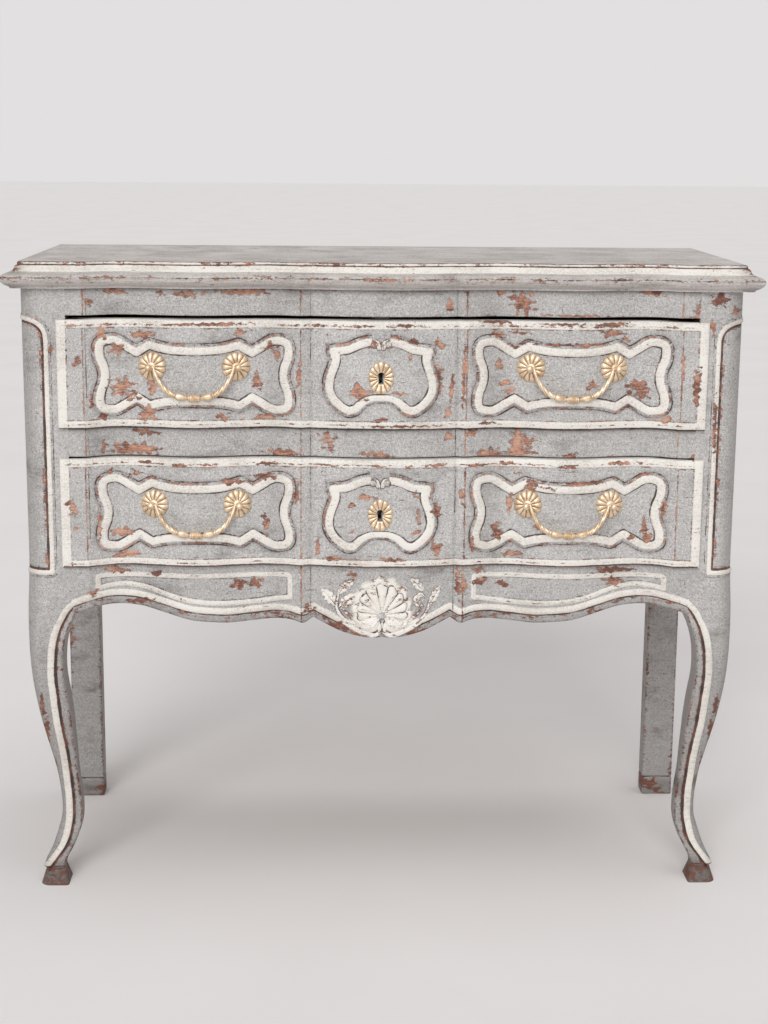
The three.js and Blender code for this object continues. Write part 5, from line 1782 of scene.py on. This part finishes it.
            # Painted shade on the rounded outer corner and the faces beyond it, which turn from the light.
            coat.soil_and_shade(0.34 * np.clip((u - 0.3) / 0.16, 0, 1))
            coat.dark = np.minimum(coat.dark, np.abs(v - self.hoof) - 0.6)
            sound = coat.worn.copy()
            coat.chip(place[:, 0], v, self.worn)
            coat.chip(place[:, 0] * self.side.value, v, self.stile_worn)
            coat.worn = np.where(u > 0.6, sound, coat.worn)
            coat.rub(np.where((ring_off > 5) & (ring_off < 9) & front, 0.42, SOUND))
            return np.column_stack([place, v]), coat

        spans = zip(self.turns[:-1], self.turns[1:], self.turn_points)
        shares = np.concatenate([*(np.linspace(a, b, count)[:-1] for a, b, count in spans), [1.0]])
        low = np.concatenate([[0, 0.8, 1.8], np.linspace(3.2, 19, 12), [19.8, 20.6, 22, self.hoof]])
        heights = np.concatenate([low, ruled(25.6, SIZE.case_top, 1.75)])
        bench = Bench(f"painted_{self.side.word}_front_leg")
        part = Sheet(shares, heights, ring)
        part.close(0.02)
        bench.gather(part.bm, self.side.mirror)
        bench.finish("case", GREY, [f"{self.side.word}_front_leg"], angle=50)


@dataclass
class RearLeg:
    """A straight square rear leg with a groove over the floor."""

    side: Side
    across: Pair = (436.0, 484.0)
    depth: Pair = (169.5, 203.5)
    corner: float = 2.2
    groove: Triple = (30.0, 1.6, 1.5)
    worn: tuple[Place, ...] = (
        (-480, 284, 4, 4), (-479, 262, 5, 5), (-440, 12, 8, 5), (446, 16, 14, 8), (462, 10, 8, 5),
        (480, 36, 3, 8), (438, 20, 2, 10),
    )

    def outline(self) -> Array:
        """Goes round the leg's section.

        Returns:
            Place, direction outwards and distance from the nearest corner of each point.
        """
        (x0, x1), (y0, y1), r = self.across, self.depth, self.corner
        middles = ((x0 + r, y0 + r), (x1 - r, y0 + r), (x1 - r, y1 - r), (x0 + r, y1 - r))
        rows = []
        for (cx, cy), (next_x, next_y), start in zip(middles, middles[1:] + middles[:1], (180, 270, 0, 90)):
            for angle in np.radians(np.linspace(start, start + 90, 5)):
                cos, sin = math.cos(angle), math.sin(angle)
                rows.append((cx + r * cos, cy + r * sin, cos, sin, 0))
            ax, ay = rows[-1][:2]
            size = math.hypot(next_x - cx, next_y - cy)
            for t in np.linspace(0, 1, 16)[1:-1]:
                x, y = ax + t * (next_x - cx), ay + t * (next_y - cy)
                rows.append((x, y, cos, sin, min(t, 1 - t) * size))
        return np.array([*rows, rows[0]])

    def build(self) -> None:
        """Makes the leg."""
        table = self.outline()

        def ring(u: Array, v: Array) -> tuple[Array, Coat]:
            """Wraps the sheet round the leg and cuts the groove.

            Args:
                u: Numbers of points of the leg's outline.
                v: Heights.

            Returns:
                Positions and paint marks.
            """
            i = u.astype(int)
            middle, half, deep = self.groove
            cut = deep * np.clip(1.3 - np.abs(v - middle) / half, 0, 1) + 1.2 * np.clip(1 - v / 1.5, 0, 1)
            place = table[i, :2] - table[i, 2:4] * cut[:, None]
            coat = Coat(len(u))
            coat.dark = np.abs(v - middle) - 0.5
            # Painted shade over the whole leg, deepest at its foot, where there is dirt as well.
            coat.soil_and_shade(np.interp(v, [22, 30, 60], [0.5, 0.3, 0.22]))
            coat.rub(0.42 - 0.14 * table[i, 4])
            coat.rub(0.4 - 0.04 * v)
            coat.chip(place[:, 0] * self.side.value, v, self.worn)
            return np.column_stack([place, v]), coat

        heights = np.concatenate([
            [0, 0.6, 1.5, 4, 8, 13, 18, 23], np.arange(27, 33.6, 0.5), ruled(36, SIZE.case_top, 6),
        ])
        part = Sheet(np.arange(len(table)).astype(float), heights, ring)
        part.close(0.02)
        bench = Bench(f"painted_{self.side.word}_rear_leg")
        bench.gather(part.bm, self.side.mirror)
        bench.finish("case", GREY, [f"{self.side.word}_rear_leg"], angle=50)


class CarriedPieces:
    """Plain framed pieces whose solids are right: they get eased, worn edges and their finish."""

    def build(self) -> None:
        """Makes the side and back frames and the strips inside."""
        for side in Side:
            word = side.word
            self.piece(f"{word}_side_top_rail", GREY, 1.0, 3.0)
            self.piece(f"{word}_side_bottom_rail", GREY, 1.0)
            self.piece(f"{word}_side_panel", GREY, 0.6, 4.0)
            for node in (f"{word}_kicker", f"{word}_upper_runner", f"{word}_lower_runner"):
                self.piece(node, SIDE_WOOD, 0.6)
        for node in ("back_top_rail", "back_bottom_rail", "back_panel"):
            self.piece(node, BACK_WOOD, 0.8)

    def piece(
        self, node: str, finish: Finish, edge: float = 0.0, inset: float = 0.0, body: str = "case"
    ) -> None:
        """Makes one carried piece.

        Args:
            node: The solid.
            finish: What it is dressed in.
            edge: Width of its eased edges.
            inset: Width of its worn margins.
            body: The body it rides on.
        """
        bench = Bench(f"eased_{node}")
        bench.carry(node, edge, inset)
        bench.finish(body, finish, [node], closed=False, angle=30)


# The drawers.


@dataclass
class Drawer:
    """One drawer: a lipped serpentine front with carved cartouches, on a dovetailed box."""

    row: str
    top: float
    foot: float
    bead_z: float
    key_z: float
    worn: tuple[Place, ...]
    foot_shade: float = 1.0
    handle_drop: float = 62.5
    thickness: float = 9.6
    lip: float = 11.0
    roll: float = 10.0
    hole: Place = (-9.5, -9.5, 1.5, 8.8)
    border: tuple = (0, 0.12, 0.4, 0.9, 1.6, 2.6, 3.9, 5.4, 7.0, 8.6, 9.8, 10.3, 10.9, 11.6)
    half: Pair = (126.0, 46.5)
    centre_half: Pair = (74.0, 48.0)
    side_shares: tuple = (
        (0.944, 0), (0.955, 0.23), (0.992, 0.51), (1, 0.79), (0.968, 0.95), (0.87, 1), (0.8, 0.94),
        (0.716, 0.8), (0.614, 0.64), (0.545, 0.755), (0.475, 0.868), (0.36, 0.785), (0.222, 0.73), (0, 0.71),
    )
    centre_shares: tuple = (
        (0, 0.93), (0.2, 0.97), (0.39, 0.9), (0.6, 0.76), (0.862, 0.705), (0.812, 0.56), (0.83, 0.35),
        (0.91, 0), (0.935, -0.31), (0.875, -0.58), (0.74, -0.81), (0.59, -0.94), (0.47, -0.9),
        (0.33, -0.71), (0.18, -0.6), (0, -0.575),
    )
    ear: tuple = (
        (46, 44.4), (57, 41.4), (66, 40.8), (74.8, 44.4), (71.4, 37), (70.6, 29), (71, 20), (56, 26),
    )
    scroll_stem: tuple = ((1.0, -9), (2.2, -3), (5.0, 3), (10.0, 5.5))

    def side_line(self) -> Line:
        """Lays out the right side cartouche, which is the same above and below.

        Returns:
            Its middle line.
        """
        quarter = [(x * self.half[0], z * self.half[1]) for x, z in self.side_shares]
        upper = quarter + [(-x, z) for x, z in quarter[-2::-1]]
        points = upper + [(x, -z) for x, z in upper[-2:0:-1]]
        count = len(upper)
        marks = [8, 10, count - 11, count - 9]
        corners = marks + [len(points) - mark for mark in marks]
        path = flowing(points, corners, closed=True, step=3.0)
        return Line(path + [SIZE.pull_x, self.bead_z])

    def centre_line(self) -> Line:
        """Lays out the middle cartouche, which is the same on the left and on the right.

        Returns:
            Its middle line.
        """
        half = [(x * self.centre_half[0], z * self.centre_half[1]) for x, z in self.centre_shares]
        points = half + [(-x, z) for x, z in half[-2:0:-1]]
        count = len(points)
        corners = [0, 4, 12, count - 12, count - 4]
        path = flowing(points, corners, closed=True, step=3.0)
        return Line(path + [SIZE.key_x, self.bead_z])

    def ear_line(self) -> Line:
        """The pointed leaf at the middle cartouche's right upper corner, from its middle."""
        return Line(flowing(self.ear, (0, 3, 6, 7), closed=True, step=2.0) + [0, self.bead_z])

    def build(self) -> None:
        """Makes the drawer's front, box and furniture."""
        self.front()
        self.box()
        self.scroll()
        KeyholePlate(self.row, self.key_z).build()
        Lock(self.row).build()
        for side in Side:
            Handle(side, self.row, self.top - self.handle_drop).build()

    def front(self) -> None:
        """Makes the front: a raised field with a rounded cream border and three cartouches."""
        side_line, centre_line, ear_line = self.side_line(), self.centre_line(), self.ear_line()

        def face(u: Array, v: Array) -> tuple[Array, Coat]:
            """Bends the face along the serpentine and carves it.

            Args:
                u: Places across.
                v: Heights.

            Returns:
                Positions and paint marks.
            """
            to_side = SIZE.lip_half - np.abs(u)
            to_top, to_foot = self.top - v, v - self.foot
            to_rail = np.minimum(to_top, to_foot)
            edge = np.minimum(to_rail, to_side)
            past = np.clip(self.roll - edge, 0, self.roll) / self.roll
            fall = 3 * (1 - np.sqrt(np.clip(1 - past**2, 0, 1)))
            fillet = 0.4 * hump(edge, 10.6, 0.6)
            off = side_line.offset(np.abs(u), v)
            off_centre = centre_line.offset(u, v)
            from_key = np.abs(u - SIZE.key_x)
            ear = ear_line.offset(from_key, v)
            off_centre = np.where(off_centre > 3, np.minimum(off_centre, 9.9 + 1.5 * ear), off_centre)
            slim = np.where(v < self.bead_z, np.interp(from_key, [6, 34], [1.35, 1]), 1)
            parted = (from_key < 11.5) & (v > self.bead_z + 30)
            off_centre = np.where(parted, FAR, off_centre * slim)
            lift = CARTOUCHE_BEAD.height(off) + CARTOUCHE_BEAD.height(off_centre)
            coat = Coat(len(u))
            wave_marks(coat, u)
            coat.worn = np.where(edge < self.lip, SOUND, coat.worn)
            coat.dark = np.where(edge < self.lip, FAR, coat.dark)
            coat.dark = np.where(edge == to_foot, to_foot - self.foot_shade, coat.dark)
            coat.cream = np.minimum(to_rail - 10.2, to_side - 12.4)
            coat.bead(CARTOUCHE_BEAD, off)
            coat.bead(CARTOUCHE_BEAD, off_centre)
            for bead in (off, off_centre):
                coat.soil_and_shade(0.07 + 0.3 * hump(bead, CARTOUCHE_FOOT, 2.5))
            coat.rub(np.where(to_side > self.lip, 0.6 - 0.5 * np.abs(to_rail - 11.2), SOUND))
            coat.rub(0.62 - 0.4 * np.abs(to_side - 13.6))
            for border, share, place, half in ((to_top, 0.5, 7.0, 0.6), (to_foot, 0.4, 5.5, 0.4)):
                rubbed = share - 0.36 * np.maximum(np.abs(edge - place) - half, 0)
                coat.rub(np.where(edge == border, rubbed, SOUND))
            coat.chip(u, v, self.worn)
            y = SIZE.drawer_face_y + WAVE.set_back(u) + fall + fillet - lift
            return np.column_stack([u, y, v]), coat

        xs = drawn_to(ruled(-SIZE.lip_half, SIZE.lip_half, 1.4, self.border), WAVE_LINES)
        sheet = Sheet(xs, ruled(self.foot, self.top, 1.4, self.border), face)
        left, low, right, high = self.hole
        sheet.pierce((left, self.key_z + low), (right, self.key_z + high))
        rear = SIZE.drawer_face_y + self.thickness
        sheet.wall(rear + 0.05, bent=True)
        node = f"{self.row}_drawer_front"
        bench = Bench(f"painted_{node}")
        bench.gather(sheet.bm)
        bench.carry(node, 0.0, 0.0, rear)
        bench.finish(f"{self.row}_drawer", GREY, [node], angle=44)

    def scroll(self) -> None:
        """Carves the leaf scrolls where the middle cartouche's bead parts at the top."""
        chisel = Chisel(Bench(f"carved_{self.row}_scrolls"), SIZE.drawer_face_y)
        top = self.bead_z + 45.0
        for sign in (-1, 1):
            chisel.boss((sign * 9.5 + SIZE.key_x, top - 1.0), (6.2, 6.0), 4.6, 0.1, 0.45)
            chisel.boss((sign * 3.6 + SIZE.key_x, top - 4.5), (3.0, 5.4), 4.0, -1.0, 0.2)
            path = [(sign * x + SIZE.key_x, top + z) for x, z in self.scroll_stem]
            chisel.ribbon(path, (0.8, 1.8, 1.8, 0.6), 5.0, 0.0, 0.2)
        chisel.bench.finish(f"{self.row}_drawer", GREY, angle=60)

    def box(self) -> None:
        """Makes the drawer's sides, back and bottom."""
        body = f"{self.row}_drawer"
        carried = CarriedPieces()
        for side in Side:
            carried.piece(f"{side.word}_{self.row}_drawer_side", SIDE_WOOD, body=body)
        carried.piece(f"{self.row}_drawer_back", BOX_WOOD, 0.6, body=body)
        carried.piece(f"{self.row}_drawer_bottom", BOX_WOOD, 0.4, body=body)


@dataclass
class Handle:
    """A drop handle: a cast bail between two petal roses."""

    side: Side
    row: str
    z: float
    spread: float = 56.0
    petals: int = 13
    rose_radius: float = 19.5
    dome: float = 5.7
    dome_shares: tuple = (
        (0, 0.86), (0.2, 0.9), (0.4, 0.98), (0.62, 0.98), (0.8, 0.84), (0.92, 0.56), (0.98, 0.3), (1, 0.16),
    )
    seat_gap: float = 0.8
    pivot_y: float = -191.1
    reach: float = 53.83
    drop: float = 41.0
    bow: float = 3.6
    thick: float = 5.6
    shares: tuple = (
        (0, 1, 0.98), (0.05, 1, 1), (0.1, 1, 0.93), (0.13, 1, 0.8), (0.15, 0.998, 0.46),
        (0.175, 0.995, 0.42), (0.2, 0.99, 0.5), (0.24, 0.982, 0.66), (0.29, 0.971, 0.8),
        (0.35, 0.957, 0.86), (0.41, 0.937, 0.8),
        (0.45, 0.92, 0.66), (0.475, 0.908, 0.56), (0.5, 0.896, 0.64), (0.55, 0.87, 0.62), (0.68, 0.76, 0.57),
        (0.8, 0.58, 0.52), (0.9, 0.36, 0.46), (0.965, 0.15, 0.4), (0.99, 0.04, 0.32), (1.0, 0, 0.25),
        (1.074, 0, 0.25),
    )
    rings: tuple = ((0.0, 0.7), (2.6, 0.6), (5.0, 0.6), (9.0, 0.6), (24.6, 0.5), (27.0, 0.5))
    neck: tuple = (
        (0, 0.2), (5.6, 0.2), (6.2, 5.6), (6.0, 6.6), (5.2, 7.1), (4.0, 7.2), (3.4, 7.9), (3.2, 9),
        (3.2, 15.4), (3.9, 15.9), (4.5, 17.0), (4.7, 18.4), (4.5, 19.9), (3.8, 21.2), (2.6, 22.2),
        (1.2, 22.7), (0, 22.8),
    )
    shank: tuple = ((0, -36), (2.5, -36), (2.5, 0.6), (0, 0.6))

    @property
    def key(self) -> str:
        """Where the handle is, as the frame spells it."""
        return f"{self.side.word}_{self.row}"

    def build(self) -> None:
        """Makes the roses, the bail and the nuts."""
        for where, shift in (("inner", -self.spread), ("outer", self.spread)):
            self.rose(where, SIZE.pull_x + shift)
            CarriedPieces().piece(f"{self.key}_{where}_nut", IRON, 0.3, body=f"{self.row}_drawer")
        self.bail()

    def rose(self, where: str, x: float) -> None:
        """Makes one rose on its tilted seat.

        Args:
            where: Inner or outer.
            x: Its place across the chest, on the right side.
        """

        def petal(u: Array, v: Array) -> tuple[Array, Coat]:
            """Rounds the petals over the dome and down the rim.

            Args:
                u: Directions.
                v: Shares of the radius, and past 1 down the rim.

            Returns:
                Positions and paint marks.
            """
            across, crown = petals(u, 2 * np.pi, self.petals)
            share = np.minimum(v, 1)
            radius = self.rose_radius * share * (1 - (0.09 - 0.09 * crown) * share**2)
            dome = self.dome * np.interp(share, *np.array(self.dome_shares).T)
            groove = 2.1 * (1 - crown) * np.interp(share, [0, 0.16, 0.5, 0.9, 1], [0, 0.4, 0.9, 1, 0.5])
            out = self.seat_gap + dome - np.minimum(groove, dome * 0.7)
            out = np.where(v > 1, self.seat_gap, out)
            coat = Coat(len(u))
            gap = (1 - np.abs(across)) * np.pi * radius / self.petals
            coat.dark = np.where(share > 0.2, gap, FAR)
            return np.column_stack([radius * np.cos(u), radius * np.sin(u), out]), coat

        seat = Matrix.Translation((x * MM, (SIZE.drawer_face_y + WAVE.at(x)) * MM, self.z * MM))
        face = seat @ Matrix.Rotation(WAVE.slope(x), 4, "Z") @ Matrix.Rotation(math.pi / 2, 4, "X")
        place = self.side.mirror @ face
        node = f"{self.key}_{where}_rose"
        bench = Bench(f"cast_{node}")
        rows = np.concatenate([np.linspace(0.02, 0.9, 15), [0.94, 0.97, 0.99, 1, 2]])
        bench.gather(Sheet(np.linspace(0, 2 * np.pi, self.petals * 12 + 1), rows, petal).bm, place)
        bench.turn(self.neck, 26, place)
        bench.turn(self.shank, 14, place)
        bench.finish(f"{self.row}_drawer", BRASS, [node], angle=50, closed=False)

    def bail(self) -> None:
        """Makes the bail with its ringed knop, its two olives and its fluted arms."""
        right = flowing(np.array(self.shares) * [self.reach, self.drop, self.thick], step=0.7)
        path = np.vstack([right[:0:-1] * [-1, 1, 1], right])
        down = path[:, 1] / self.drop
        spine = np.column_stack([
            path[:, 0] + SIZE.pull_x, self.pivot_y - self.bow * np.clip(down, 0, 1), self.z - path[:, 1]
        ])
        ahead = np.gradient(spine, axis=0)
        ahead /= np.linalg.norm(ahead, axis=1)[:, None]
        out = np.cross(ahead, [0, 1, 0])
        out /= np.linalg.norm(out, axis=1)[:, None]
        third = np.cross(ahead, out)

        def tube(u: Array, v: Array) -> tuple[Array, Coat]:
            """Wraps the sheet round the bail's spine.

            Args:
                u: Directions round the spine.
                v: Numbers of its points.

            Returns:
                Positions and paint marks.
            """
            i = v.astype(int)
            away = np.abs(path[i, 0])
            ring = np.zeros(len(u))
            for place, width in self.rings:
                ring = np.maximum(ring, hump(away, place, width))
            arm = np.clip((away - 27) / 4, 0, 1) * np.clip((51 - away) / 3, 0, 1)
            flute = 0.11 * np.cos(4 * u + away * 0.9) * arm
            bud = 0.05 * np.cos(6 * u) * hump(away, 18.5, 4.5)
            radius = path[i, 2] * (1 - 0.22 * ring + flute + bud)
            outwards = out[i] * np.cos(u)[:, None] + third[i] * np.sin(u)[:, None]
            coat = Coat(len(u))
            coat.dark = np.where(ring > 0.4, 0.2, np.where(flute + bud < -0.05, 0.5, FAR))
            return spine[i] + outwards * radius[:, None], coat

        bench = Bench(f"cast_{self.key}_bail")
        part = Sheet(np.linspace(0, 2 * np.pi, 33), np.arange(len(path)).astype(float), tube)
        part.close(0.004)
        bench.gather(part.bm, self.side.mirror)
        bench.finish(f"{self.key}_handle", BRASS, [f"{self.key}_bail"], angle=60)


@dataclass
class KeyholePlate:
    """A cast oval plate of petals round its keyhole."""

    row: str
    z: float
    petals: int = 15
    half: Pair = (17.2, 22.2)
    thickness: float = 3.2
    seat_y: float = -191.8
    bow: Pair = (3.0, 4.7)
    slot: Pair = (3.6, -8.6)

    def keyhole(self, angle: Array) -> Array:
        """Reach of the keyhole's edge from its middle in a direction.

        Args:
            angle: Directions from +X towards +Z.

        Returns:
            The reach in each direction.
        """
        cos, sin = np.cos(angle), np.sin(angle)
        lift, radius = self.bow
        bow = lift * sin + np.sqrt(radius**2 - (lift * cos) ** 2)
        side = self.slot[0] / np.maximum(np.abs(cos), 1e-6)
        floor = self.slot[1] / np.minimum(sin, -1e-6)
        return np.where(sin < 0, np.minimum(side, floor), bow)

    def build(self) -> None:
        """Makes the plate."""

        def plate(u: Array, v: Array) -> tuple[Array, Coat]:
            """Spreads the sheet from the keyhole over the petals and down both edges.

            Args:
                u: Directions.
                v: Shares of the way outwards; below 0 and past 1 the edges.

            Returns:
                Positions and paint marks.
            """
            angle = u + np.pi / 2
            across, crown = petals(u, 2 * np.pi, self.petals)
            oval = np.hypot(np.cos(angle) / self.half[0], np.sin(angle) / self.half[1])
            rim = (0.88 + 0.12 * crown) / oval
            hole = self.keyhole(angle)
            share = np.clip(v, 0, 1)
            radius = hole + (rim - hole) * share
            body = np.interp(share, [0, 0.06, 0.3, 0.7, 0.9, 0.98, 1], [0.5, 0.66, 0.8, 1, 0.84, 0.5, 0.3])
            groove = 0.62 * (1 - crown) * np.interp(share, [0, 0.2, 0.8, 1], [0.1, 0.8, 1, 0.5])
            out = self.thickness * np.clip(body - groove, 0.14, 1)
            out = np.where((v < 0) | (v > 1), 0, out)
            coat = Coat(len(u))
            gap = (1 - np.abs(across)) * np.pi * radius / self.petals
            coat.dark = np.where(share > 0.04, gap, FAR)
            x, z = radius * np.cos(angle) + SIZE.key_x, radius * np.sin(angle) + self.z
            return np.column_stack([x, self.seat_y - out, z]), coat

        bench = Bench(f"cast_{self.row}_keyhole_plate")
        rows = np.concatenate([[-1, 0, 0.03, 0.08], np.linspace(0.15, 0.92, 12), [0.96, 0.985, 1, 2]])
        bench.gather(Sheet(np.linspace(0, 2 * np.pi, self.petals * 12 + 1), rows[::-1], plate).bm)
        bench.finish(f"{self.row}_drawer", BRASS, [f"{self.row}_escutcheon"], angle=50)


@dataclass
class Lock:
    """The lock behind the keyhole: its case and its sliding bolt."""

    row: str

    def build(self) -> None:
        """Makes the case and the bolt."""
        carried = CarriedPieces()
        carried.piece(f"{self.row}_lock_case", IRON, 0.4, body=f"{self.row}_drawer")
        carried.piece(f"{self.row}_lock_bolt", STEEL, 0.4, body=f"{self.row}_bolt")


UPPER_WORN: tuple[Place, ...] = (
    (-415, 796, 11.5, 1), (-409, 749, 6, 5.5), (-392, 691, 1.5, 11), (-377, 673, 4.5, 4), (-377, 785, 5, 7),
    (-357, 764, 11, 7), (-352, 712, 15, 12), (-340, 700, 12, 6), (-325, 784, 18, 4), (-317, 678, 10, 9),
    (-312, 712, 4, 13), (-216, 674, 9, 4), (-216, 798, 64, 1.4), (-195, 787, 6, 4), (-170, 719, 5, 11.5),
    (-161, 673, 14, 2.5), (-152, 766, 10, 6), (-144, 758, 3, 8), (-115, 732, 2, 16), (-85, 797, 25, 1.2),
    (-33, 704, 13, 8), (-36, 714, 6, 7), (-27, 797, 14, 1), (-10, 772, 11, 3), (-4, 671, 8, 2),
    (20, 707, 9.5, 2), (32, 662, 57, 1), (33, 798, 19, 1), (36, 753, 2, 4), (41, 777, 6, 3),
    (74, 773, 6, 6), (75, 730, 4.5, 17), (87, 677, 3.5, 8), (92, 711, 2, 18), (108, 734, 1.5, 38),
    (139, 665, 13, 1), (154, 785, 13, 4), (155, 744, 4, 8), (157, 802, 22, 1), (166, 720, 8, 3.5),
    (172, 709, 8.5, 4), (184, 788, 14, 1.5), (247, 773, 48, 1), (247, 800, 32, 1), (282, 718, 7, 6),
    (308, 788, 15, 4), (316, 800, 30, 1.4), (328, 779, 6, 3), (343, 714, 14, 8), (350, 706, 10, 8),
    (385, 671, 5, 4), (403, 748, 1.5, 17), (423, 720, 4, 26),
)
LOWER_WORN: tuple[Place, ...] = (
    (-420, 548, 4, 10), (-424, 556, 5, 3), (-418, 520, 4.5, 2.5), (-386, 519, 1.5, 24), (-369, 597, 3, 4),
    (-356, 513, 14, 4), (-351, 481, 18, 3.5), (-339, 596, 8, 4), (-325, 610, 9, 1), (-274, 607, 9, 1.4),
    (-240, 608, 5, 1), (-206, 584, 16, 3), (-164, 608, 14, 1.4), (-160, 527, 4, 15), (-158, 591, 18, 3.5),
    (-117, 565, 2, 15), (-89, 489, 2, 10), (-72, 478, 12, 2), (-68, 607, 9, 1), (-43, 553, 3.5, 2.5),
    (-41, 516, 3, 2), (-24, 565, 10, 2.5), (-6, 607, 8, 1), (11, 477, 18, 2), (31, 607, 11, 1),
    (44, 567, 5, 5), (47, 515, 6, 1.5), (48, 534, 3, 10), (72, 608, 13, 1.2), (73, 547, 5, 11),
    (74, 492, 7, 9), (107, 569, 2, 11), (123, 497, 2, 12), (125, 607, 14, 1.2), (156, 522, 6, 5),
    (158, 512, 5, 8), (167, 609, 13, 1.4), (174, 556, 3.5, 13), (181, 483, 13, 3), (183, 596, 6, 1),
    (203, 578, 8, 6), (213, 522, 5, 3), (227, 576, 12, 2), (254, 606, 13, 1.2), (280, 584, 26, 1.2),
    (327, 610, 12, 1.4), (343, 505, 5, 4), (353, 610, 6, 1.4), (362, 516, 4, 16), (366, 504, 5, 5),
    (385, 546, 3.5, 11),
)


# The studio.


@dataclass
class Studio:
    """A pale floor, soft light and the camera."""

    eye: Triple = (-0.0722, -2.5647, 1.0420)
    pitch: float = 11.833
    yaw: float = 1.773
    roll: float = 0.463
    lens: float = 62.62
    daylight: float = 0.3

    def build(self) -> None:
        """Makes the floor, the lamps, the world and the camera."""
        self.floor()
        self.lamp("key light", (-0.6, -3.0, 1.6), 1.84, 36.0)
        self.lamp("top light", (0.3, -0.4, 3.0), 0.85, 50.0)
        self.world()
        self.camera()
        scene = bpy.context.scene
        scene.view_settings.view_transform = "Standard"

    def floor(self) -> None:
        """Lays the floor."""
        part = bmesh.new()
        bmesh.ops.create_grid(part, x_segments=8, y_segments=8, size=40)
        mesh = bpy.data.meshes.new("pale_floor")
        part.to_mesh(mesh)
        part.free()
        ground = bpy.data.objects.new("pale_floor", mesh)
        bpy.context.scene.collection.objects.link(ground)
        mesh.materials.append(PaleFloor().material())

    def lamp(self, name: str, place: Sequence[float], strength: float, softness: float) -> None:
        """Hangs one soft lamp that lights the floor evenly.

        Args:
            name: Its name.
            place: Where its light comes from.
            strength: Its strength in watts per square metre.
            softness: Width of the light in the sky in degrees.
        """
        light = bpy.data.lights.new(name, "SUN")
        light.energy, light.angle = strength, math.radians(softness)
        lamp = bpy.data.objects.new(name, light)
        lamp.location = place
        lamp.rotation_euler = (-Vector(place)).to_track_quat("-Z", "Y").to_euler()
        bpy.context.scene.collection.objects.link(lamp)

    def world(self) -> None:
        """Sets soft daylight, with a pale wall where the camera, gloss and glass see past the floor."""
        world = bpy.data.worlds.new("studio")
        bpy.context.scene.world = world
        world.use_nodes = True
        world.node_tree.nodes.clear()
        nodes = Nodes(world.node_tree)
        path = nodes.node("ShaderNodeLightPath", {}, {}).outputs
        seen = Value(nodes, path["Is Camera Ray"])
        for ray in ("Glossy", "Transmission"):
            seen = seen.most(Value(nodes, path[f"Is {ray} Ray"]))
        sky = {"Color": colour(255, 254, 252), "Strength": self.daylight}
        wall = {"Color": colour(226, 224, 224)}
        both = [nodes.node("ShaderNodeBackground", {}, light).outputs[0] for light in (sky, wall)]
        mixed = nodes.node("ShaderNodeMixShader", {}, {0: seen, 1: both[0], 2: both[1]})
        nodes.node("ShaderNodeOutputWorld", {}, {"Surface": mixed.outputs[0]})

    def camera(self) -> None:
        """Sets the camera where the photograph was taken from."""
        data = bpy.data.cameras.new("studio camera")
        data.lens, data.sensor_width, data.sensor_fit = self.lens, 36.0, "AUTO"
        data.clip_start, data.clip_end = 0.05, 200.0
        data.dof.use_dof = False
        pitch, yaw, roll = (math.radians(angle) for angle in (self.pitch, self.yaw, self.roll))
        level_ahead = Vector((math.sin(yaw), math.cos(yaw), 0))
        ahead = math.cos(pitch) * level_ahead - math.sin(pitch) * Vector((0, 0, 1))
        level = Vector((math.cos(yaw), -math.sin(yaw), 0))
        upright = level.cross(ahead)
        right = math.cos(roll) * level + math.sin(roll) * upright
        up = -math.sin(roll) * level + math.cos(roll) * upright
        turn = Matrix((right, up, -ahead)).transposed().to_4x4()
        camera = bpy.data.objects.new("studio camera", data)
        camera.matrix_world = Matrix.Translation(self.eye) @ turn
        bpy.context.scene.collection.objects.link(camera)
        bpy.context.scene.camera = camera


def main() -> None:
    """Builds the studio and the chest in order."""
    logging.basicConfig(level=logging.INFO, format="%(message)s")
    upper = Drawer("upper", 803.5, 657.5, 729.0, 728.0, UPPER_WORN)
    lower = Drawer("lower", 615.5, 465.5, 541.0, 540.0, LOWER_WORN, foot_shade=2.1)
    legs = [kind(side) for kind in (FrontLeg, RearLeg) for side in Side]
    case = (TopBoard(), FrontRails(), Apron(), Carving(), *legs, CarriedPieces())
    for part in (Studio(), *case, upper, lower):
        LOG.info("%s:", type(part).__name__)
        part.build()
    bpy.context.view_layer.update()


if __name__ == "__main__":
    main()
